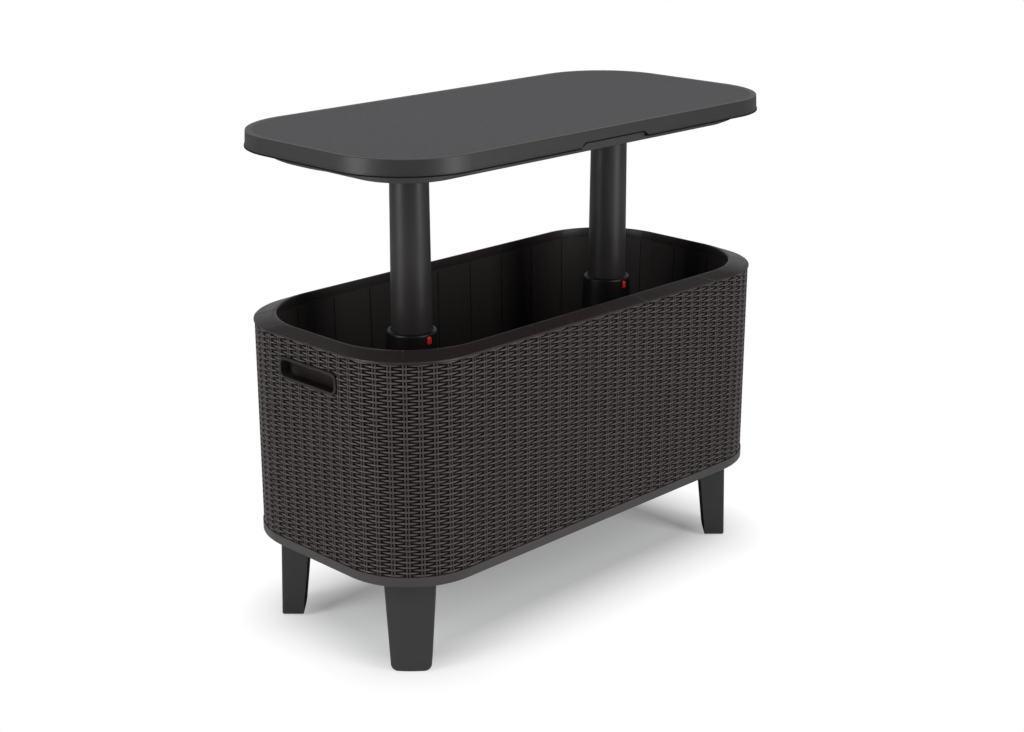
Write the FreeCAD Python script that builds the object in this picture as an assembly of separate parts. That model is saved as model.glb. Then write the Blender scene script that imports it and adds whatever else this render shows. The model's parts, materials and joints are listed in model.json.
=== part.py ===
"""Cooler table: a tub on four legs under a table top that rises on two columns.

Millimetres. +Z up, +X along the long side, the floor at z = 0, and the origin under the
middle of the tub. The table top is modelled raised. Front is -Y, and left is -X.
"""
import FreeCAD, Part
import math
import os

V = FreeCAD.Vector
UP = V(0, 0, 1)

# Table top
table_length = 824.8
table_width = 405.5
table_corner_r = 125.7
table_plate_t = 3.5
table_edge_round = 1.2
table_draft = 1.5
skirt_height = 21.9
skirt_wall = 3.0
lip_bead_height = 2.0
lip_bead_proud = 0.4
notch_length = 144.0
notch_depth = 6.7
notch_slant = 8.5
notch_round = 3.0
table_rib_t = 2.0
table_rib_depth = 9.0
table_rib_pitch = 84.0

# Underside of the table top
seal_t = 1.7
seal_proud = 0.7
seal_width = 12.0
flange_lip_t = 4.8
flange_lip_inset = 4.5
flange_corner_r = 188.0
flange_t = 2.5
plug_inset = 3.0
plug_t = 5.0
shadow_gap = 1.3
pocket_length = 17.0
pocket_height = 4.5
pocket_depth = 3.5
pocket_above_foot = 1.5
pan_inset = 45.3
pan_corner_r = 84.0
pan_depth = 13.3
pan_wall = 3.0
pan_draft = 2.0
pan_rib_height = 10.0

# Columns and their guides
column_span = 428.2
column_top_r = 28.3
column_bottom_r = 30.8
column_wall = 2.6
column_flange_r = 43.0
column_flange_t = 4.0
column_floor_gap = 8.2
bush_height = 14.0
bush_lip_height = 3.0
bush_groove_depth = 1.4
bush_split = 2.0
sleeve_bore_r = 32.8
sleeve_wall = 2.2
sleeve_flange_r = 50.0
sleeve_flange_t = 4.0
collar_drop = 29.5
collar_lip_height = 26.0
collar_skirt_height = 28.0
collar_top_r = 37.0
collar_flare = 3.0
collar_round = 3.0
collar_screw_cover = 0.55
collar_screw_drop = 9.3

# Tub
tub_length = 819.0
tub_width = 395.0
tub_corner_r = 118.0
tub_wall_height = 327.5
shell_wall = 3.0
shell_ledge_width = 8.0
shell_ledge_t = 3.0
band_height = 15.0
band_proud = 1.0
band_chamfer = 2.0
rim_height = 11.0
rim_overhang = 1.1
rim_straight = 1.5
rim_crest_inset = 20.0
rim_facets = 9
rim_groove_roof = 6.5
rim_tongue_t = 2.0
rim_tongue_depth = 6.0
rim_wall = 3.0
opening_inset = 21.5
opening_corner_r = 127.0
opening_round = 1.4
lip_height = 14.0
liner_step = 3.0
liner_draft = 5.5
liner_wall = 3.0
liner_ledge_t = 3.0
liner_ledge_reach = 2.0
cavity_depth = 319.5
plank_count = 28
plank_groove_width = 3.0
plank_groove_depth = 1.2
plank_groove_low = 1.5
plank_groove_foot = 2.0

# Base
base_plate_t = 3.0
base_flange_t = 3.0
base_flange_overlap = 6.0
base_rib_t = 3.0
base_rib_y = 75.0
base_rib_x = 150.0
base_boss_r = 6.0
leg_boss_height = 10.0
liner_boss_height = 10.0

# Legs
leg_height = 143.0
leg_set_back = 27.0
leg_splay = 5.0
leg_depth_top = 44.0
leg_depth_bottom = 34.0
leg_width_top = 75.0
leg_width_bottom = 58.0
leg_front_bow = 2.5
leg_wall = 3.2
leg_top_plate_t = 4.0
leg_edge_round = 3.0
leg_foot_round = 11.0

# Grips in the end walls
grip_length = 124.0
grip_height = 33.0
grip_corner_r = 12.0
grip_rim = 2.0
grip_proud = 2.5
grip_round = 1.75
grip_wall = 1.8
grip_depth = 18.0
grip_below_rim = 39.5

# Latches
latch_width = 7.6
latch_height = 13.0
latch_below_top = 4.5
latch_pivot_drop = 1.5
latch_arm = 5.0
latch_t = 2.6
latch_tab_t = 1.6
latch_back_gap = 1.5
latch_proud = 1.6
latch_nose_height = 2.5
latch_pin_r = 1.0
latch_pin_length = 16.0
latch_side_gap = 0.6
latch_low_gap = 0.9
latch_slot_width = 5.0
latch_skin = 0.9
latch_spring_t = 0.3
latch_spring_width = 5.0
latch_spring_height = 8.0
latch_spring_foot = 1.0

# Drain
drain_bore_r = 11.0
drain_tube_wall = 3.0
drain_flange_r = 22.0
drain_flange_t = 2.5
drain_seal_t = 1.5
drain_drop = 8.0
nut_across_flats = 38.0
nut_height = 6.0
plug_cap_r = 17.0
plug_cap_t = 4.0
plug_stem_length = 12.0
plug_wall = 4.4
plug_ring_height = 7.2
plug_bar_reach = 13.6
plug_grip_height = 7.0
plug_grip_t = 4.0
plug_ring_r = 1.5

# Screws
screw_r = 2.0
screw_head_r = 4.0
screw_head_t = 2.2
screw_recess = 1.2
screw_boss_wall = 2.6
screw_tip_cover = 2.0
screw_skin = 1.0
screw_cross_reach = 2.4

# Clearances
seat_gap = 0.5
fit_gap = 0.2
stop_gap = 0.3
running_gap = 0.06
screw_gap = 0.05
nose_gap = 0.4
plug_gap = 0.2
pin_gap = 0.04
spring_gap = 0.05

# How far a cutter runs past a face, and how near an edge counts as on a level
past = 1.0
touch = 0.01

# Levels worked out from the sizes above
base_z = leg_height
rim_z = base_z + tub_wall_height
rim_top_z = rim_z + rim_height
ledge_z = rim_top_z - lip_height
floor_z = rim_top_z - cavity_depth
liner_bottom_z = floor_z - liner_wall
collar_top_z = rim_top_z - collar_drop
stop_z = collar_top_z - collar_lip_height
sleeve_top_z = stop_z - fit_gap
bush_top_z = stop_z - stop_gap
bush_bottom_z = bush_top_z - bush_height
column_bottom_z = bush_bottom_z - bush_lip_height
lift_travel = column_bottom_z - floor_z - column_floor_gap
flange_z = rim_top_z + seat_gap + lift_travel
seal_z = flange_z + flange_lip_t
skirt_z = seal_z + seal_t
table_top_z = skirt_z + skirt_height
plate_z = table_top_z - table_plate_t
pan_bottom_z = flange_z - pan_depth
pan_floor_z = pan_bottom_z + pan_wall
column_seat_z = pan_floor_z + pan_rib_height
grip_z = rim_top_z - grip_below_rim - grip_height / 2

# Plan sizes: length, width and corner radius
table = (table_length, table_width, table_corner_r)
pan = (table_length - 2 * pan_inset, table_width - 2 * pan_inset, pan_corner_r)
tub = (tub_length, tub_width, tub_corner_r)


def inset(size, amount):
    """The same rounded rectangle, drawn in on every side."""
    length, width, radius = size
    return (length - 2 * amount, width - 2 * amount, radius - amount)


rim = inset(tub, -rim_overhang)
opening = (rim[0] - 2 * opening_inset, rim[1] - 2 * opening_inset, opening_corner_r)
cavity_top = inset(opening, liner_step)
cavity_bottom = inset(cavity_top, liner_draft)

# Places
columns = {"left": -column_span / 2, "right": column_span / 2}
sleeve_r = sleeve_bore_r + sleeve_wall
collar_bore_r = column_bottom_r + seat_gap
sleeve_screw_ring_r = (sleeve_r + sleeve_flange_r) / 2
column_screw_ring_r = (column_bottom_r + column_flange_r) / 2
diagonals = [45 + 90 * i for i in range(4)]
table_screw_places = [
    (sx * pan[0] * fx / 2, sy * pan[1] * fy / 2)
    for fx, fy in ((0.3, 0.8), (0.85, 0.4))
    for sx in (-1, 1)
    for sy in (-1, 1)
]
base_screw_places = [
    (sx * tub_length * fx / 2, sy * tub_width * fy / 2)
    for fx, fy, signs in ((0.27, 0.6, (-1, 1)), (0.78, 0.0, (1,)))
    for sx in (-1, 1)
    for sy in signs
]
corners = {
    "front_left": (-1, -1),
    "front_right": (1, -1),
    "rear_left": (-1, 1),
    "rear_right": (1, 1),
}
leg_screw_places = [(-9.0, 0.0), (6.0, -18.0), (6.0, 18.0)]


def outline(size, z):
    """Wire of a rounded rectangle at height z."""
    length, width, radius = size
    hx = length / 2 - radius
    hy = width / 2 - radius
    centres = [(hx, hy, 0), (-hx, hy, 90), (-hx, -hy, 180), (hx, -hy, 270)]
    edges = []
    for i, (cx, cy, start) in enumerate(centres):
        arc = [
            V(
                cx + radius * math.cos(math.radians(start + turn)),
                cy + radius * math.sin(math.radians(start + turn)),
                z,
            )
            for turn in (0, 45, 90)
        ]
        nx, ny, angle = centres[(i + 1) % 4]
        after = V(
            nx + radius * math.cos(math.radians(angle)),
            ny + radius * math.sin(math.radians(angle)),
            z,
        )
        edges.append(Part.Arc(*arc).toShape())
        edges.append(Part.makeLine(arc[2], after))
    return Part.Wire(edges)


def slab(size, z0, z1):
    """Rounded rectangle with upright walls."""
    return Part.Face(outline(size, z0)).extrude(V(0, 0, z1 - z0))


def taper(size0, z0, size1, z1):
    """Rounded rectangle that changes size from z0 to z1."""
    return Part.makeLoft([outline(size0, z0), outline(size1, z1)], True, True)


def box(x0, x1, y0, y1, z0, z1):
    return Part.makeBox(x1 - x0, y1 - y0, z1 - z0, V(x0, y0, z0))


def rod(x, y, z0, z1, radius):
    return Part.makeCylinder(radius, z1 - z0, V(x, y, z0), UP)


def tube(x, y, z0, z1, outer, inner):
    return rod(x, y, z0, z1, outer).cut(rod(x, y, z0, z1, inner))


def cone(x, y, z0, z1, r0, r1):
    return Part.makeCone(r0, r1, z1 - z0, V(x, y, z0), UP)


def ring_point(x, y, radius, angle):
    """Point at an angle in degrees on a circle about (x, y)."""
    turn = math.radians(angle)
    return (x + radius * math.cos(turn), y + radius * math.sin(turn))


def column_r(z):
    """Outer radius of a column at height z, with the table raised."""
    share = (z - column_bottom_z) / (column_seat_z - column_bottom_z)
    return column_bottom_r + (column_top_r - column_bottom_r) * share


def joined(shapes):
    """One solid from overlapping or touching shapes."""
    whole = shapes[0].multiFuse(shapes[1:])
    return whole.removeSplitter()


def end_slot(length, height, radius, x0, x1, z):
    """Rounded slot in a wall across X, from x0 to x1."""
    plan = (height, length, radius)
    flat = slab(plan, 0, x1 - x0)
    flat.rotate(V(0, 0, 0), V(0, 1, 0), 90)
    flat.translate(V(x0, 0, z))
    return flat


def screw(x, y, head_z, length):
    """Screw with its head underneath, driven upwards from head_z."""
    head = rod(x, y, head_z - screw_head_t, head_z, screw_head_r)
    rims = [e for e in head.Edges if abs(e.BoundBox.ZMax - (head_z - screw_head_t)) < touch]
    head = head.makeFillet(screw_head_t / 2, [e for e in rims if e.BoundBox.ZLength < touch])
    shank = rod(x, y, head_z, head_z + length, screw_r)
    body = head.fuse(shank)
    arm = screw_cross_reach
    half = screw_recess / 2
    low = head_z - screw_head_t
    cross = box(x - arm, x + arm, y - half, y + half, low, low + screw_recess)
    cross = cross.fuse(box(x - half, x + half, y - arm, y + arm, low, low + screw_recess))
    return body.cut(cross).removeSplitter()


def turned_over(shape, z):
    """The same piece upside down about the level z."""
    shape = shape.copy()
    shape.rotate(V(0, 0, z), V(1, 0, 0), 180)
    return shape


def save(name, shape):
    if isinstance(shape, list):
        shape = Part.makeCompound(shape)
    elif len(shape.Solids) == 1:
        shape = shape.Solids[0]
    print(name, len(shape.Solids), round(shape.Volume / 1000, 1), "cm3", shape.isValid())
    shape.exportStep("parts/%s.step" % name)


def notch_prism(y0, y1, foot_z, shrink):
    """Finger notch across a long side, wider at the bottom, drawn in by shrink."""
    low = notch_length / 2 - shrink
    high = low - notch_slant
    top_z = skirt_z + notch_depth - shrink
    points = [V(-low, y0, foot_z), V(low, y0, foot_z), V(low, y0, skirt_z), V(high, y0, top_z)]
    points += [V(-high, y0, top_z), V(-low, y0, skirt_z)]
    block = Part.Face(Part.makePolygon(points + [points[0]])).extrude(V(0, y1 - y0, 0))
    upper = [
        e
        for e in block.Edges
        if e.BoundBox.ZMin > top_z - touch and e.BoundBox.XLength < touch
    ]
    return block.makeFillet(notch_round, upper)


def make_table_top():
    """Top plate with its skirt, ribs, screw bosses and finger notches."""
    top = inset(table, table_draft)
    block = taper(inset(table, lip_bead_proud), skirt_z, top, table_top_z)
    upper = [e for e in block.Edges if e.BoundBox.ZMin > table_top_z - touch]
    block = block.makeFillet(table_edge_round, upper)
    bead = slab(table, skirt_z, skirt_z + lip_bead_height)
    block = block.fuse(bead)
    hollow = inset(table, skirt_wall + table_draft)
    block = block.cut(slab(hollow, skirt_z - past, plate_z))
    ribs = []
    steps = int(table_length / 2 / table_rib_pitch)
    half = table_rib_t / 2
    rib_z = plate_z - table_rib_depth
    for i in range(-steps, steps + 1):
        x = i * table_rib_pitch
        ribs.append(box(x - half, x + half, -table_width, table_width, rib_z, plate_z))
    for y in (-table_rib_pitch, 0, table_rib_pitch):
        ribs.append(box(-table_length, table_length, y - half, y + half, rib_z, plate_z))
    grid = ribs[0].multiFuse(ribs[1:]).common(slab(hollow, rib_z - past, plate_z + past))
    for x in columns.values():
        grid = grid.cut(rod(x, 0, rib_z - past, plate_z, column_flange_r + screw_head_r))
    adds = [block, grid]
    boss_r = screw_r + screw_boss_wall
    for x, y in table_screw_places:
        adds.append(rod(x, y, pan_floor_z, plate_z, boss_r))
    flange_top = column_seat_z + column_flange_t
    for x in columns.values():
        adds.append(tube(x, 0, flange_top, plate_z, column_bottom_r, column_bottom_r - skirt_wall))
    whole = joined(adds)
    for x, y in table_screw_places:
        whole = whole.cut(rod(x, y, pan_floor_z - past, plate_z - screw_tip_cover, screw_r + screw_gap))
    reach = skirt_wall + table_draft + past
    for side in (-1, 1):
        face = side * table_width / 2
        whole = whole.cut(notch_prism(face - side * reach, face + side, skirt_z - past, 0))
    return whole


def make_table_seal():
    """Flat rubber ring under the skirt's foot, notched where the plugs pass."""
    ring = slab(inset(table, -seal_proud), seal_z, skirt_z)
    ring = ring.cut(slab(inset(table, seal_width), seal_z - past, skirt_z + past))
    half = notch_length / 2
    for side in (-1, 1):
        ends = (side * (table_width / 2 + past), side * (table_width / 2 - plug_inset - plug_t - fit_gap))
        ring = ring.cut(box(-half, half, min(ends), max(ends), seal_z - past, skirt_z + past))
    return ring


def notch_pocket(side):
    """Small three-cornered pocket in the right-hand end of a notch plug."""
    right = notch_length / 2
    top = skirt_z + pocket_above_foot
    back = side * (table_width / 2 - plug_inset - pocket_depth)
    points = [(right, top), (right - pocket_length, top), (right, top - pocket_height)]
    wire = Part.makePolygon([V(-side * x, back, z) for x, z in points + [points[0]]])
    return Part.Face(wire).extrude(V(0, side * (pocket_depth + plug_inset + past), 0))


def make_table_underside():
    """Flange that closes the skirt, and the pan that the columns hold."""
    lip_length = table_length - 2 * flange_lip_inset
    lip_width = table_width - 2 * flange_lip_inset
    lip = slab((lip_length, lip_width, flange_corner_r), flange_z, seal_z)
    neck = slab(inset(table, seal_width + fit_gap), seal_z, skirt_z)
    step = slab(inset(table, skirt_wall + table_draft + fit_gap), skirt_z, skirt_z + flange_t)
    pan_low = inset(pan, pan_draft)
    bowl = taper(pan_low, pan_bottom_z, pan, flange_z)
    adds = [lip, neck, step, bowl]
    for side in (-1, 1):
        face = side * (table_width / 2 - plug_inset)
        adds.append(notch_prism(face - side * plug_t, face, seal_z, shadow_gap))
    whole = joined(adds)
    for side in (-1, 1):
        whole = whole.cut(notch_pocket(side))
    lower = [
        e
        for e in whole.Edges
        if e.BoundBox.ZMax < pan_bottom_z + touch
    ]
    whole = whole.makeFillet(pan_wall / 2, lower)
    hollow_low = inset(pan_low, pan_wall)
    hollow = taper(hollow_low, pan_floor_z, inset(pan, pan_wall), flange_z)
    hollow = hollow.fuse(slab(inset(pan, pan_wall), flange_z, skirt_z + flange_t))
    whole = whole.cut(hollow)
    ribs = []
    half = table_rib_t / 2
    steps = int(pan[0] / 2 / table_rib_pitch)
    rib_top = pan_floor_z + pan_rib_height
    for i in range(-steps, steps + 1):
        x = i * table_rib_pitch
        ribs.append(box(x - half, x + half, -pan[1], pan[1], pan_floor_z, rib_top))
    ribs.append(box(-pan[0], pan[0], -half, half, pan_floor_z, rib_top))
    grid = ribs[0].multiFuse(ribs[1:]).common(hollow)
    boss_r = screw_r + screw_boss_wall
    for x in columns.values():
        grid = grid.cut(rod(x, 0, pan_floor_z - past, rib_top + past, column_flange_r + table_rib_t))
    for x, y in table_screw_places:
        grid = grid.cut(rod(x, y, pan_floor_z - past, rib_top + past, boss_r + fit_gap))
    adds = [whole, grid]
    hole_r = column_r(pan_bottom_z) + fit_gap
    for x in columns.values():
        adds.append(tube(x, 0, pan_floor_z, column_seat_z, hole_r + pan_wall, hole_r))
        for angle in diagonals:
            px, py = ring_point(x, 0, column_screw_ring_r, angle)
            adds.append(rod(px, py, pan_floor_z, column_seat_z, boss_r))
    whole = joined(adds)
    for x in columns.values():
        whole = whole.cut(rod(x, 0, pan_bottom_z - past, column_seat_z + past, hole_r))
        for angle in diagonals:
            px, py = ring_point(x, 0, column_screw_ring_r, angle)
            whole = whole.cut(rod(px, py, pan_floor_z, column_seat_z + past, screw_r + screw_gap))
    for x, y in table_screw_places:
        whole = whole.cut(rod(x, y, pan_bottom_z - past, pan_floor_z + past, screw_r + screw_gap))
    return whole


def make_table_screws():
    length = plate_z - pan_bottom_z - table_plate_t
    return [screw(x, y, pan_bottom_z, length) for x, y in table_screw_places]


def make_column(x):
    """Tapered tube with a flange at the top and a groove for its bush at the bottom."""
    outer = cone(x, 0, column_bottom_z, column_seat_z, column_bottom_r, column_top_r)
    flange = rod(x, 0, column_seat_z, column_seat_z + column_flange_t, column_flange_r)
    inner = cone(
        x,
        0,
        column_bottom_z - past,
        column_seat_z + column_flange_t + past,
        column_bottom_r - column_wall,
        column_top_r - column_wall,
    )
    body = outer.fuse(flange).cut(inner)
    groove_r = column_bottom_r - bush_groove_depth
    groove = tube(x, 0, bush_bottom_z, bush_top_z, column_bottom_r + past, groove_r)
    body = body.cut(groove)
    for angle in diagonals:
        px, py = ring_point(x, 0, column_screw_ring_r, angle)
        low = column_seat_z - past
        body = body.cut(rod(px, py, low, low + column_flange_t + 2 * past, screw_r + screw_gap))
    return body.removeSplitter()


def make_column_screws():
    head_z = column_seat_z + column_flange_t
    screws = []
    for x in columns.values():
        for angle in diagonals:
            px, py = ring_point(x, 0, column_screw_ring_r, angle)
            up = screw(px, py, head_z, column_flange_t + pan_rib_height - screw_boss_wall)
            screws.append(turned_over(up, head_z))
    return screws


def make_guide_bush(x):
    """Split ring that runs in the sleeve and stops under the collar."""
    inner = column_bottom_r - bush_groove_depth + screw_gap
    outer = sleeve_bore_r - running_gap
    ring = tube(x, 0, bush_bottom_z + screw_gap, bush_top_z - screw_gap, outer, inner)
    half = bush_split / 2
    split = box(x - half, x + half, 0, outer + past, bush_bottom_z, bush_top_z)
    return ring.cut(split)


def make_sleeve(x):
    """Fixed tube that guides a column, with a flange on the tub's floor."""
    body = rod(x, 0, floor_z, sleeve_top_z, sleeve_r)
    body = body.fuse(rod(x, 0, floor_z, floor_z + sleeve_flange_t, sleeve_flange_r))
    body = body.cut(rod(x, 0, floor_z - past, sleeve_top_z + past, sleeve_bore_r))
    for angle in diagonals:
        px, py = ring_point(x, 0, sleeve_screw_ring_r, angle)
        hole = rod(px, py, floor_z - past, floor_z + sleeve_flange_t + past, screw_r + screw_gap)
        body = body.cut(hole)
    for side in (-1, 1):
        body = body.cut(collar_screw_hole(x, side, sleeve_bore_r + collar_screw_cover))
    return body.removeSplitter()


def make_sleeve_screws():
    head_z = floor_z + sleeve_flange_t
    screws = []
    for x in columns.values():
        for angle in diagonals:
            px, py = ring_point(x, 0, sleeve_screw_ring_r, angle)
            up = screw(px, py, head_z, sleeve_flange_t + liner_wall + liner_boss_height / 2)
            screws.append(turned_over(up, head_z))
    return screws


def collar_r(z):
    """Outer radius of a collar at height z."""
    low = stop_z - collar_skirt_height
    return collar_top_r + collar_flare * (collar_top_z - z) / (collar_top_z - low)


collar_screw_z = stop_z - collar_screw_drop


def collar_screw_hole(x, side, inner_r):
    start = V(x + side * inner_r, 0, collar_screw_z)
    reach = collar_top_r + collar_flare + past - inner_r
    return Part.makeCylinder(screw_r / 2 + screw_gap, reach, start, V(side, 0, 0))


def make_collar_screws():
    """Short radial screws that hold the collars on the sleeves."""
    screws = []
    inner_r = sleeve_bore_r + collar_screw_cover + screw_gap
    seat_r = collar_r(collar_screw_z) - screw_head_t / 2
    for x in columns.values():
        for side in (-1, 1):
            way = V(side, 0, 0)
            start = V(x + side * inner_r, 0, collar_screw_z)
            seat = V(x + side * seat_r, 0, collar_screw_z)
            shank = Part.makeCylinder(screw_r / 2, seat_r - inner_r, start, way)
            head = Part.makeCylinder(screw_head_r / 2, screw_head_t / 2, seat, way)
            screws.append(shank.fuse(head).removeSplitter())
    return screws


latch_top_z = collar_top_z - latch_below_top
latch_tab_z = latch_top_z - latch_height
latch_pivot_z = latch_tab_z - latch_pivot_drop
latch_low_z = latch_pivot_z - latch_arm
latch_step_z = latch_pivot_z + latch_t / 2 + latch_side_gap
pocket_back_y = -(collar_bore_r + latch_skin)
latch_in_y = pocket_back_y - latch_back_gap
latch_out_y = latch_in_y - latch_t
latch_pin_y = (latch_in_y + latch_out_y) / 2
tab_in_y = latch_out_y + latch_tab_t


def latch_pocket(x):
    """Room for a lever in the collar, its slot at the top, and the nose's way in."""
    half = latch_width / 2 + latch_side_gap
    far = -2 * collar_top_r
    low = latch_low_z - latch_low_gap
    pocket = box(x - half, x + half, far, pocket_back_y, low, latch_top_z + latch_side_gap)
    slot_half = latch_slot_width / 2
    slot = box(x - slot_half, x + slot_half, far, latch_in_y, latch_low_z, collar_top_z + past)
    nose_top = latch_low_z + latch_nose_height + latch_side_gap
    nose = box(x - half, x + half, far, -column_bottom_r, low, nose_top)
    return pocket.fuse(slot).fuse(nose)


def make_collar(x):
    """Ring on a sleeve's top that stops the bush and holds the latch."""
    low = stop_z - collar_skirt_height
    body = cone(x, 0, low, collar_top_z, collar_r(low), collar_top_r)
    upper = [e for e in body.Edges if e.BoundBox.ZMin > collar_top_z - touch]
    body = body.makeFillet(collar_round, upper)
    body = body.cut(rod(x, 0, stop_z - past, collar_top_z + past, collar_bore_r))
    body = body.cut(rod(x, 0, low - past, stop_z, sleeve_r + screw_gap))
    body = body.cut(latch_pocket(x))
    pin_r = latch_pin_r + pin_gap / 2
    start = V(x - latch_pin_length / 2, latch_pin_y, latch_pivot_z)
    body = body.cut(Part.makeCylinder(pin_r, latch_pin_length, start, V(1, 0, 0)))
    for side in (-1, 1):
        body = body.cut(collar_screw_hole(x, side, sleeve_bore_r))
        seat_r = collar_r(collar_screw_z) - screw_head_t / 2
        start = V(x + side * seat_r, 0, collar_screw_z)
        deep = collar_flare + screw_head_t
        well = Part.makeCylinder(screw_head_r / 2 + screw_gap, deep, start, V(side, 0, 0))
        body = body.cut(well)
    return body.removeSplitter()


def make_latch_pin(x):
    length = latch_pin_length - 2 * screw_gap
    start = V(x - length / 2, latch_pin_y, latch_pivot_z)
    return Part.makeCylinder(latch_pin_r, length, start, V(1, 0, 0))


def make_latch_lever(x):
    """Press tab above the pivot, and the nose that faces the column below it."""
    half = latch_width / 2
    nose_y = -(column_r(latch_low_z) + nose_gap)
    nose_z = latch_low_z + latch_nose_height
    tab_y = latch_out_y + latch_tab_t / 4
    bow_y = -(collar_top_r + latch_proud)
    points = [
        V(0, tab_y, latch_top_z),
        V(0, tab_in_y, latch_top_z),
        V(0, tab_in_y, latch_step_z),
        V(0, latch_in_y, latch_step_z),
        V(0, latch_in_y, nose_z),
        V(0, nose_y, nose_z),
        V(0, nose_y, latch_low_z),
        V(0, latch_out_y, latch_low_z),
        V(0, latch_out_y, latch_tab_z),
    ]
    edges = [Part.makeLine(a, b) for a, b in zip(points, points[1:])]
    bow = V(0, bow_y, (latch_tab_z + latch_top_z) / 2)
    edges.append(Part.Arc(points[-1], bow, points[0]).toShape())
    body = Part.Face(Part.Wire(edges)).extrude(V(latch_width, 0, 0))
    body.translate(V(x - half, 0, 0))
    start = V(x - latch_width, latch_pin_y, latch_pivot_z)
    hole = Part.makeCylinder(latch_pin_r + pin_gap, 2 * latch_width, start, V(1, 0, 0))
    return body.cut(hole)


def make_latch_spring(x):
    """Bowed leaf that pushes the tab outwards."""
    back_y = pocket_back_y - spring_gap
    bow_y = tab_in_y + spring_gap
    top = latch_top_z - spring_gap
    low = top - latch_spring_height
    outer = [V(0, back_y, low), V(0, bow_y, (low + top) / 2), V(0, back_y, top)]
    inner = [V(0, back_y, low + latch_spring_foot), V(0, bow_y + latch_spring_t, (low + top) / 2)]
    inner.append(V(0, back_y, top - latch_spring_foot))
    edges = [
        Part.Arc(*outer).toShape(),
        Part.makeLine(outer[2], inner[2]),
        Part.Arc(*inner[::-1]).toShape(),
        Part.makeLine(inner[0], outer[0]),
    ]
    body = Part.Face(Part.Wire(edges)).extrude(V(latch_spring_width, 0, 0))
    body.translate(V(x - latch_spring_width / 2, 0, 0))
    return body


def make_body_shell():
    """Outer wall with its smooth foot band, a ledge for the base and two grip slots."""
    wall = slab(tub, base_z, rim_z)
    band = slab(inset(tub, -band_proud), base_z, base_z + band_height)
    low = [e for e in band.Edges if e.BoundBox.ZMax < base_z + touch]
    band = band.makeChamfer(band_chamfer, low)
    body = wall.common(slab(tub, base_z + band_chamfer, rim_z)).fuse(band)
    body = body.cut(slab(inset(tub, shell_wall), base_z + shell_ledge_t, rim_z + past))
    body = body.cut(slab(inset(tub, shell_wall + shell_ledge_width), base_z - past, rim_z))
    for side in (-1, 1):
        wall_x = side * tub_length / 2
        slot = end_slot(
            grip_length - 2 * grip_rim,
            grip_height - 2 * grip_rim,
            grip_corner_r - grip_rim,
            wall_x - 2 * shell_wall,
            wall_x + 2 * shell_wall,
            grip_z,
        )
        body = body.cut(slot)
    return body.removeSplitter()


def make_handle_pocket(side):
    """Grip cup in an end wall, with a proud rim round its mouth."""
    wall_x = tub_length / 2
    rim_part = end_slot(grip_length, grip_height, grip_corner_r, wall_x, wall_x + grip_proud, grip_z)
    outer_edges = [e for e in rim_part.Edges if e.BoundBox.XMin > wall_x + grip_proud - touch]
    rim_part = rim_part.makeFillet(grip_round, outer_edges)
    inset_rim = grip_rim + fit_gap
    cup_x = wall_x + grip_proud - grip_depth
    cup = end_slot(
        grip_length - 2 * inset_rim,
        grip_height - 2 * inset_rim,
        grip_corner_r - inset_rim,
        cup_x,
        wall_x + grip_proud / 2,
        grip_z,
    )
    inset_mouth = inset_rim + grip_wall
    mouth = end_slot(
        grip_length - 2 * inset_mouth,
        grip_height - 2 * inset_mouth,
        grip_corner_r - inset_mouth,
        cup_x + grip_wall,
        wall_x + grip_proud + past,
        grip_z,
    )
    body = rim_part.fuse(cup).cut(mouth).removeSplitter()
    if side < 0:
        body = body.mirror(V(0, 0, 0), V(1, 0, 0))
    return body


def plank_place(size, share):
    """Point and inward direction at a share of the way round a rounded rectangle.

    The way starts in the middle of the rear side and goes towards +X.
    """
    length, width, radius = size
    hx = length / 2 - radius
    hy = width / 2 - radius
    quarter = math.pi * radius / 2
    straights = [
        (V(0, width / 2, 0), V(1, 0, 0), hx),
        (V(length / 2, hy, 0), V(0, -1, 0), 2 * hy),
        (V(hx, -width / 2, 0), V(-1, 0, 0), 2 * hx),
        (V(-length / 2, -hy, 0), V(0, 1, 0), 2 * hy),
        (V(-hx, width / 2, 0), V(1, 0, 0), hx),
    ]
    centres = [V(hx, hy, 0), V(hx, -hy, 0), V(-hx, -hy, 0), V(-hx, hy, 0)]
    way = share * (4 * hx + 4 * hy + 4 * quarter)
    for i, (start, along, run) in enumerate(straights):
        if way <= run or i == len(centres):
            return start + along * way, along.cross(UP)
        way -= run
        if way <= quarter:
            turn = way / radius
            out = UP.cross(along) * math.cos(turn) + along * math.sin(turn)
            return centres[i] + out * radius, out * -1
        way -= quarter
    return None


def rim_section(share):
    """Outline of the rim's top at a share of the way in from its outside to its crest."""
    turn = math.pi / 2 * share
    amount = rim_crest_inset * (1 - math.cos(turn))
    radius = rim[2] + (opening_corner_r - rim[2]) * amount / opening_inset
    z = rim_z + rim_straight + (rim_height - rim_straight) * math.sin(turn)
    return outline((rim[0] - 2 * amount, rim[1] - 2 * amount, radius), z)


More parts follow.
